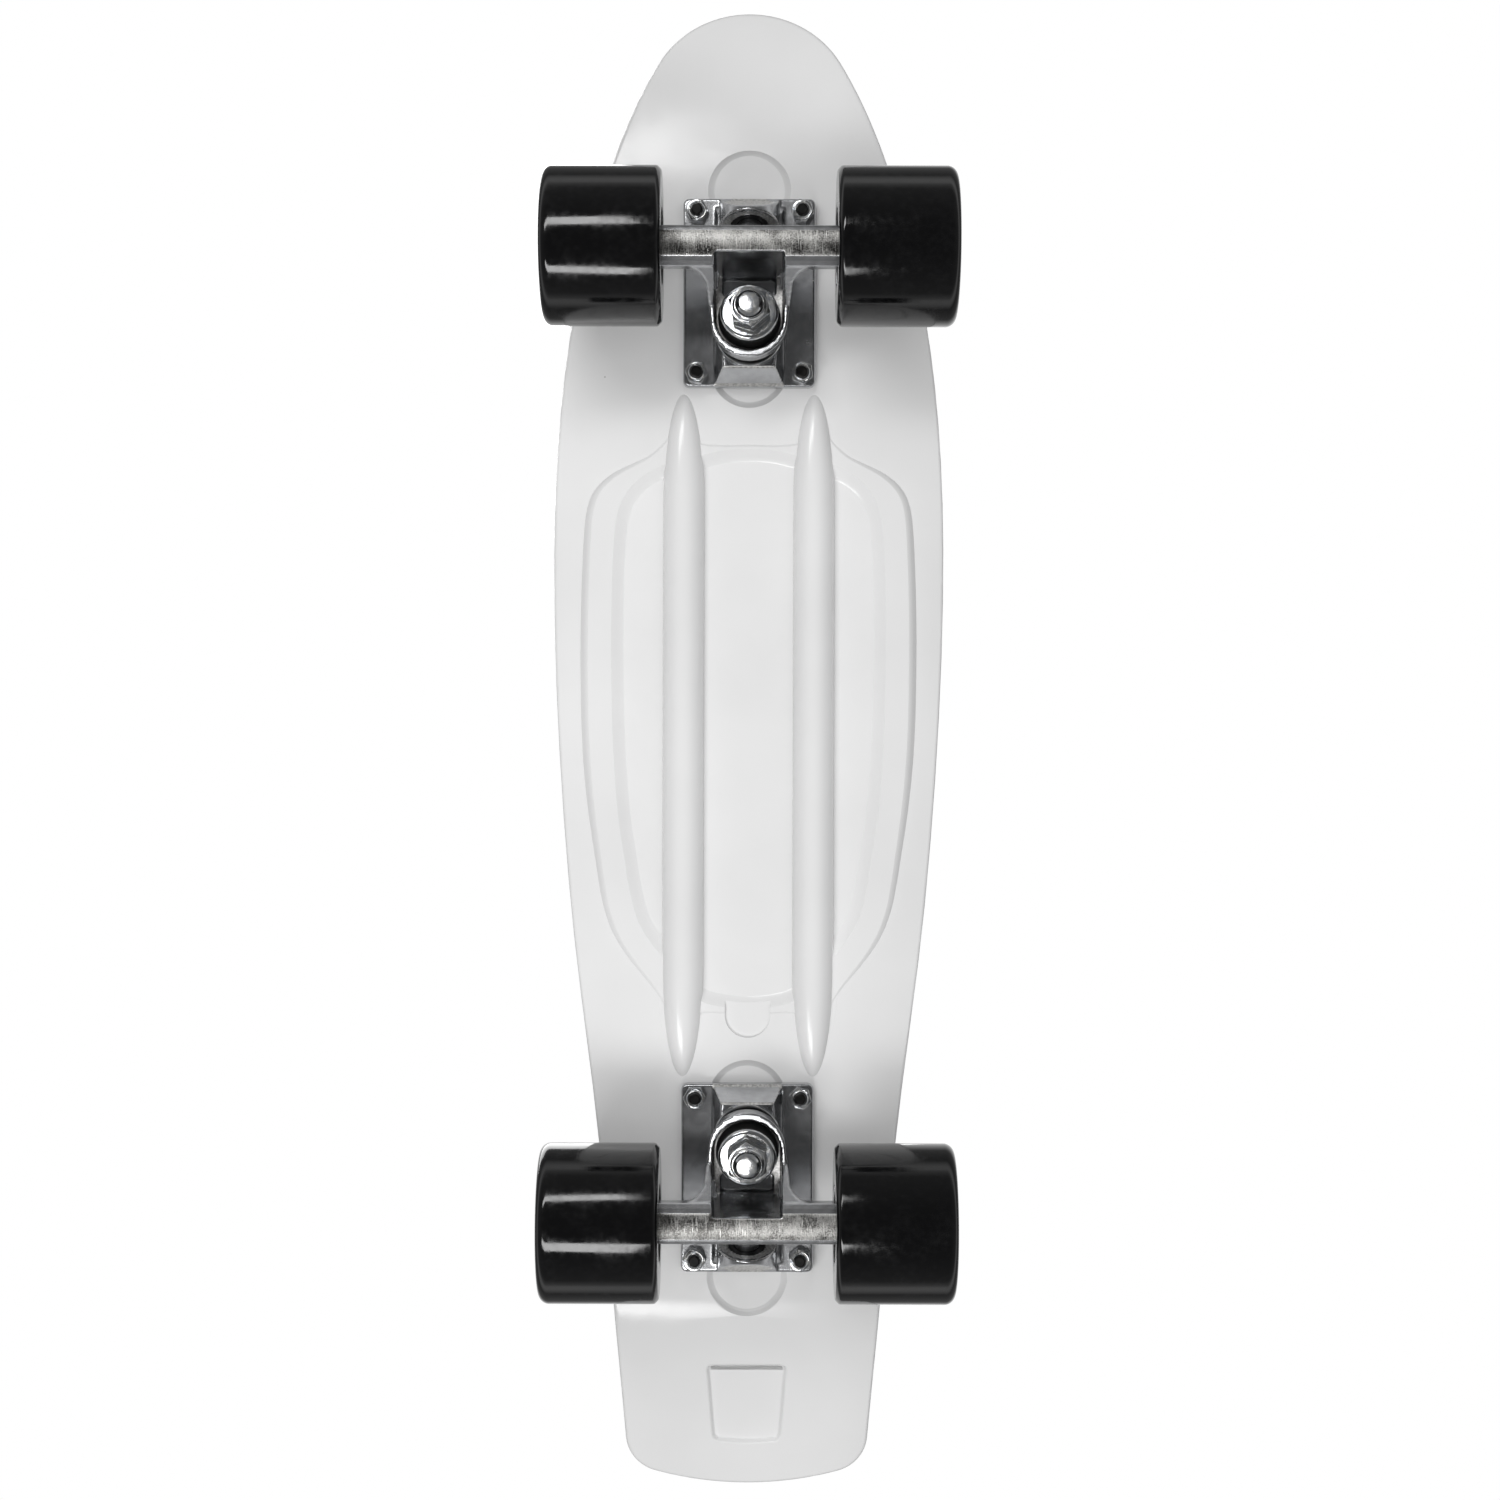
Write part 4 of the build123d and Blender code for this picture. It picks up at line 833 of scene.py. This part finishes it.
# Upper washers: shallow round-edged cups under the kingpin nuts, pressed from steel sheet and zinc plated.
# They keep the cones' small ends from spreading.
upper_washer = turned("upper_washer_pattern", [
    (5.05, 12.35), (9.6, 12.35), (9.85, 12.1), (9.9, 11.4), (10.15, 11.15), (10.85, 11.15), (11.1, 11.45),
    (11.1, 12.2), (10.98, 12.75), (10.65, 13.2), (10.15, 13.47), (9.5, 13.55), (5.05, 13.55), (5.05, 12.35),
], 80)
on_kingpins(upper_washer, "upper_cup_washer", "upper_washer", "zinc_steel", zinc)

# Kingpin nuts: large lock nuts that set how hard the bushings are squeezed, zinc plated, with a dark
# nylon ring in the collar.
kingpin_nut = hexagon_nut("kingpin_nut_pattern", pin_flats, [
    (4.77, 13.55), (6.9, 13.55), (8.4, 14.4), (8.4, 19.3), (6.95, 20.15), (6.4, 20.2), (6.25, 20.45),
    (6.25, 21.3), (6.0, 21.8), (5.6, 22.05), (5.35, 22.0), (5.3, 21.6), (4.77, 21.55),
])
nylon_edge, nylon_level = 5.32 * mm, 21.4 * mm
for face in kingpin_nut.data.polygons:
    out = (face.center.x ** 2 + face.center.y ** 2) ** 0.5
    face.material_index = int(out < nylon_edge and face.center.z > nylon_level)
for end, turn in (("front", 12), ("rear", 4)):
    place, lying = pin_places[end]
    bpy.ops.object.select_all(action="DESELECT")
    nut = fitted(kingpin_nut, f"{end}_kingpin_lock_nut", [((0, 0, 0), (0, 0, radians(turn)))])
    nut.location, nut.rotation_euler = place, lying
    bpy.ops.object.transform_apply()
    stand_for(nut, f"{end}_kingpin_nut", "zinc_steel", zinc, nylon)
bpy.data.objects.remove(kingpin_nut)

# Axles: one steel rod through each hanger, turned and ground, and threaded at both ends for the nuts.
# The hanger is cast round it, so that it doesn't turn.
axle_level = middle_of("front_axle").z
rod_radius, rod_half = 3.97, 76.2
rod_thread, rod_pitch, rod_thread_start, rod_turns = 0.35, 1.06, 64.0, 11
rod_end = [
    *threaded(rod_radius, rod_thread, rod_pitch, rod_thread_start, rod_turns),
    (3.35, rod_half - 0.35), (3.0, rod_half), (0, rod_half),
]
axle = turned("axle_pattern", [(radius, -height) for radius, height in reversed(rod_end)] + rod_end, 32)


def on_axle(row, starts, hands=(1, -1)):
    """Where pieces that are modelled on the Z axis go on an axle, at each start on each hand."""
    return [
        ((side * start * mm, row, axle_level), (0, side * radians(90), 0))
        for side in hands for start in starts
    ]


line_size = 0.8 * mm

# Ground steel is a plain grey metal with a satin gloss and fine rings left by the grinding wheel.
ground_steel, tree, at = empty_material("ground_steel")
lay = add_node(tree, "ShaderNodeMapping", {
    "Vector": at, "Scale": (1 / line_size, 1 / flow_size, 1 / flow_size)})
lines = add_node(tree, "ShaderNodeTexNoise", {"Vector": lay.outputs[0], "Scale": 1.0, "Detail": 3.0})
tone = add_node(tree, "ShaderNodeValToRGB", {0: lines.outputs["Fac"]}, ((0.3, "#909193"), (0.7, "#B4B5B7")))
satin = add_node(tree, "ShaderNodeMapRange", {"Value": lines.outputs["Fac"], "To Min": 0.2, "To Max": 0.36})
ringed = add_node(tree, "ShaderNodeBump", {"Height": lines.outputs["Fac"], "Distance": 0.01 * mm})
coat(tree, {
    "Base Color": tone.outputs[0], "Roughness": satin.outputs[0], "Normal": ringed.outputs[0],
    "Metallic": 1.0})
for end, row in axle_rows.items():
    rod = fitted(axle, f"{end}_threaded_axle", on_axle(row, (0,), (1,)))
    stand_for(rod, f"{end}_axle", "axle_steel", ground_steel)
bpy.data.objects.remove(axle)

# Speed washers: small hard rings beside each bearing, punched from steel and zinc plated, that keep the
# wheels from rubbing on the hangers and the nuts.
hanger_end, washer_thick, bearing_wide, spacer_long = 39.7, 1.0, 7.0, 10.0
bearing_starts = (hanger_end + washer_thick, hanger_end + washer_thick + bearing_wide + spacer_long)
bearing_end = bearing_starts[1] + bearing_wide
speed_washer = turned("speed_washer_pattern", [
    (4.0, 0.15), (4.15, 0), (6.0, 0), (6.2, 0.2), (6.2, washer_thick - 0.2), (6.0, washer_thick),
    (4.15, washer_thick), (4.0, washer_thick - 0.15), (4.0, 0.15),
], 48)
for end, row in axle_rows.items():
    washers = fitted(speed_washer, f"{end}_punched_speed_washers", on_axle(row, (hanger_end, bearing_end)))
    stand_for(washers, f"{end}_speed_washers", "zinc_steel", zinc)
bpy.data.objects.remove(speed_washer)

# Bearings: two in each wheel, each with a ground inner ring on the axle, a cage of balls behind thin
# shields, and an outer ring pressed into the wheel. A plain tube keeps the two apart.
inner_ring = turned("inner_ring_pattern", [
    (4.0, 0.4), (4.3, 0), (5.75, 0), (6.0, 0.25), (6.0, bearing_wide - 0.25), (5.75, bearing_wide),
    (4.3, bearing_wide), (4.0, bearing_wide - 0.4), (4.0, 0.4),
], 48)
outer_ring = turned("outer_ring_pattern", [
    (9.2, 0.3), (9.45, 0), (10.6, 0), (11.0, 0.4), (11.0, bearing_wide - 0.4), (10.6, bearing_wide),
    (9.45, bearing_wide), (9.2, bearing_wide - 0.3), (9.2, 0.3),
], 64)
shield_sunk = 0.25
shield = turned("shield_pattern", [
    (6.25, 0.0), (7.0, 0.0), (7.25, 0.12), (8.2, 0.12), (8.45, 0.0), (9.0, 0.0), (9.18, 0.2), (9.18, 0.5),
    (6.25, 0.5), (6.25, 0.0),
], 64)
polish_size = 5 * mm

# Bearing steel is ground and lapped to a clear bright grey, with a trace of oil that lies in patches.
bearing_steel, tree, at = empty_material("lapped_bearing_steel")
oil = add_node(tree, "ShaderNodeTexNoise", {"Vector": at, "Scale": 1 / polish_size, "Detail": 3.0})
tone = add_node(tree, "ShaderNodeValToRGB", {0: oil.outputs["Fac"]}, ((0.35, "#A6A7A8"), (0.7, "#C6C7C9")))
lapped = add_node(tree, "ShaderNodeMapRange", {"Value": oil.outputs["Fac"], "To Min": 0.12, "To Max": 0.26})
coat(tree, {
    "Base Color": tone.outputs[0], "Roughness": lapped.outputs[0], "Metallic": 1.0})
sides = {"left": 1, "right": -1}
for end, row in axle_rows.items():
    rings = fitted(inner_ring, f"{end}_ground_inner_rings", on_axle(row, bearing_starts))
    stand_for(rings, f"{end}_bearing_inner_rings", "bearing_steel", bearing_steel)
    for hidden, finish in (("bearing_cages", bearing_steel), ("bearing_spacers", ground_steel)):
        plain = frame["nodes"][f"{end}_{hidden}"]
        plain.data.materials.clear()
        plain.data.materials.append(finish)
    for hand, side in sides.items():
        rings = fitted(outer_ring, f"{end}_{hand}_ground_outer_rings", on_axle(row, bearing_starts, (side,)))
        stand_for(rings, f"{end}_{hand}_bearing_outer_rings", "bearing_steel", bearing_steel)
        shields = fitted(shield, f"{end}_{hand}_pressed_shields", [
            ((side * (start + offset) * mm, row, axle_level), (0, side * facing * radians(90), 0))
            for start in bearing_starts
            for offset, facing in ((shield_sunk, 1), (bearing_wide - shield_sunk, -1))
        ])
        stand_for(shields, f"{end}_{hand}_bearing_shields", "bearing_steel", bearing_steel)
for pattern in (inner_ring, outer_ring, shield):
    bpy.data.objects.remove(pattern)

# Wheels: four thick rollers cast in black polyurethane round a sleeve, and turned true. Each is bevelled
# on the inside and rounded on the outside, and a cone leads in to the bearing on either face.
wheel_inner, wheel_outer, wheel_radius, rounding = 33.0, 78.0, 30.0, 4.0
cone_mouth, cone_foot, seat_radius, sleeve_radius = 14.6, 12.5, 11.03, 9.6
wheel_section = [
    (cone_mouth, wheel_inner + 0.25), (cone_mouth + 0.6, wheel_inner), (wheel_radius - 2.0, wheel_inner),
    (wheel_radius - 1.55, wheel_inner + 0.15), (wheel_radius - 0.25, wheel_inner + 1.35),
    (wheel_radius - 0.05, wheel_inner + 1.8), (wheel_radius, wheel_inner + 2.3),
]
for step in range(13):
    turn = step / 12 * pi / 2
    wheel_section.append((
        wheel_radius - rounding * (1 - cos(turn)), wheel_outer - rounding * (1 - sin(turn))))
wheel_section += [
    (20.5, wheel_outer), (20.2, wheel_outer - 0.25), (17.2, wheel_outer - 0.35), (16.9, wheel_outer - 0.1),
    (15.4, wheel_outer - 0.05), (cone_mouth + 0.2, wheel_outer - 0.5), (cone_foot + 0.15, bearing_end + 0.3),
    (cone_foot, bearing_end), (seat_radius, bearing_end), (seat_radius, bearing_starts[1]),
    (sleeve_radius, bearing_starts[1]), (sleeve_radius, bearing_starts[0] + bearing_wide),
    (seat_radius, bearing_starts[0] + bearing_wide), (seat_radius, bearing_starts[0]),
    (cone_foot, bearing_starts[0]), (cone_foot + 0.15, bearing_starts[0] - 0.3),
    (cone_mouth, wheel_inner + 0.25),
]
wheel = turned("wheel_pattern", wheel_section, 96)
lathe_size = 1.1 * mm
smudge_size = 14 * mm
dust_size = 2.4 * mm

# Cast urethane is a deep black that mirrors lamps almost as glass does. The eye sees the lathe's faint
# rings in those reflections, and smudges of handling and grey dust that dull them in patches.
wheel_urethane, tree, at = empty_material("turned_black_urethane")
lay = add_node(tree, "ShaderNodeMapping", {
    "Vector": at, "Scale": (1 / lathe_size, 1 / flow_size, 1 / flow_size)})
rings = add_node(tree, "ShaderNodeTexNoise", {"Vector": lay.outputs[0], "Scale": 1.0, "Detail": 3.0})
smudge = add_node(tree, "ShaderNodeTexNoise", {"Vector": at, "Scale": 1 / smudge_size, "Detail": 5.0})
dust = add_node(tree, "ShaderNodeTexNoise", {"Vector": at, "Scale": 1 / dust_size, "Detail": 4.0})
film = add_node(tree, "ShaderNodeMath", {
    0: smudge.outputs["Fac"], 1: dust.outputs["Fac"]}, operation="MULTIPLY")
tone = add_node(tree, "ShaderNodeValToRGB", {0: film.outputs[0]}, ((0.2, "#080809"), (0.5, "#111112")))
gloss = add_node(tree, "ShaderNodeMapRange", {
    "Value": film.outputs[0], "From Min": 0.15, "From Max": 0.45, "To Min": 0.07, "To Max": 0.2})
turned_skin = add_node(tree, "ShaderNodeBump", {"Height": rings.outputs["Fac"], "Distance": 0.006 * mm})
coat(tree, {
    "Base Color": tone.outputs[0], "Roughness": gloss.outputs[0], "Normal": turned_skin.outputs[0],
    "IOR": 1.5})
for end, row in axle_rows.items():
    for hand, side in sides.items():
        roller = fitted(wheel, f"{end}_{hand}_urethane_wheel", on_axle(row, (0,), (side,)))
        stand_for(roller, f"{end}_{hand}_wheel", "wheel_urethane", wheel_urethane)
bpy.data.objects.remove(wheel)

# Axle nuts: four lock nuts that hold the wheels on, pressed from steel and zinc plated, each with a dark
# nylon ring that grips the axle's thread.
nut_flats = 12.7
axle_nut = hexagon_nut("axle_nut_pattern", nut_flats, [
    (4.0, 0), (5.9, 0), (7.4, 0.85), (7.4, 5.25), (6.15, 5.95), (5.85, 6.05), (5.75, 6.3), (5.75, 7.4),
    (5.45, 7.85), (5.1, 8.0), (4.75, 7.9), (4.7, 7.5), (4.0, 7.45),
])
nylon_edge, nylon_level = 4.72 * mm, 7.3 * mm
for face in axle_nut.data.polygons:
    out = (face.center.x ** 2 + face.center.y ** 2) ** 0.5
    face.material_index = int(out < nylon_edge and face.center.z > nylon_level)
for end, row in axle_rows.items():
    nuts = fitted(axle_nut, f"{end}_axle_lock_nuts", on_axle(row, (bearing_end + washer_thick,)))
    stand_for(nuts, f"{end}_axle_nuts", "zinc_steel", zinc, nylon)
bpy.data.objects.remove(axle_nut)
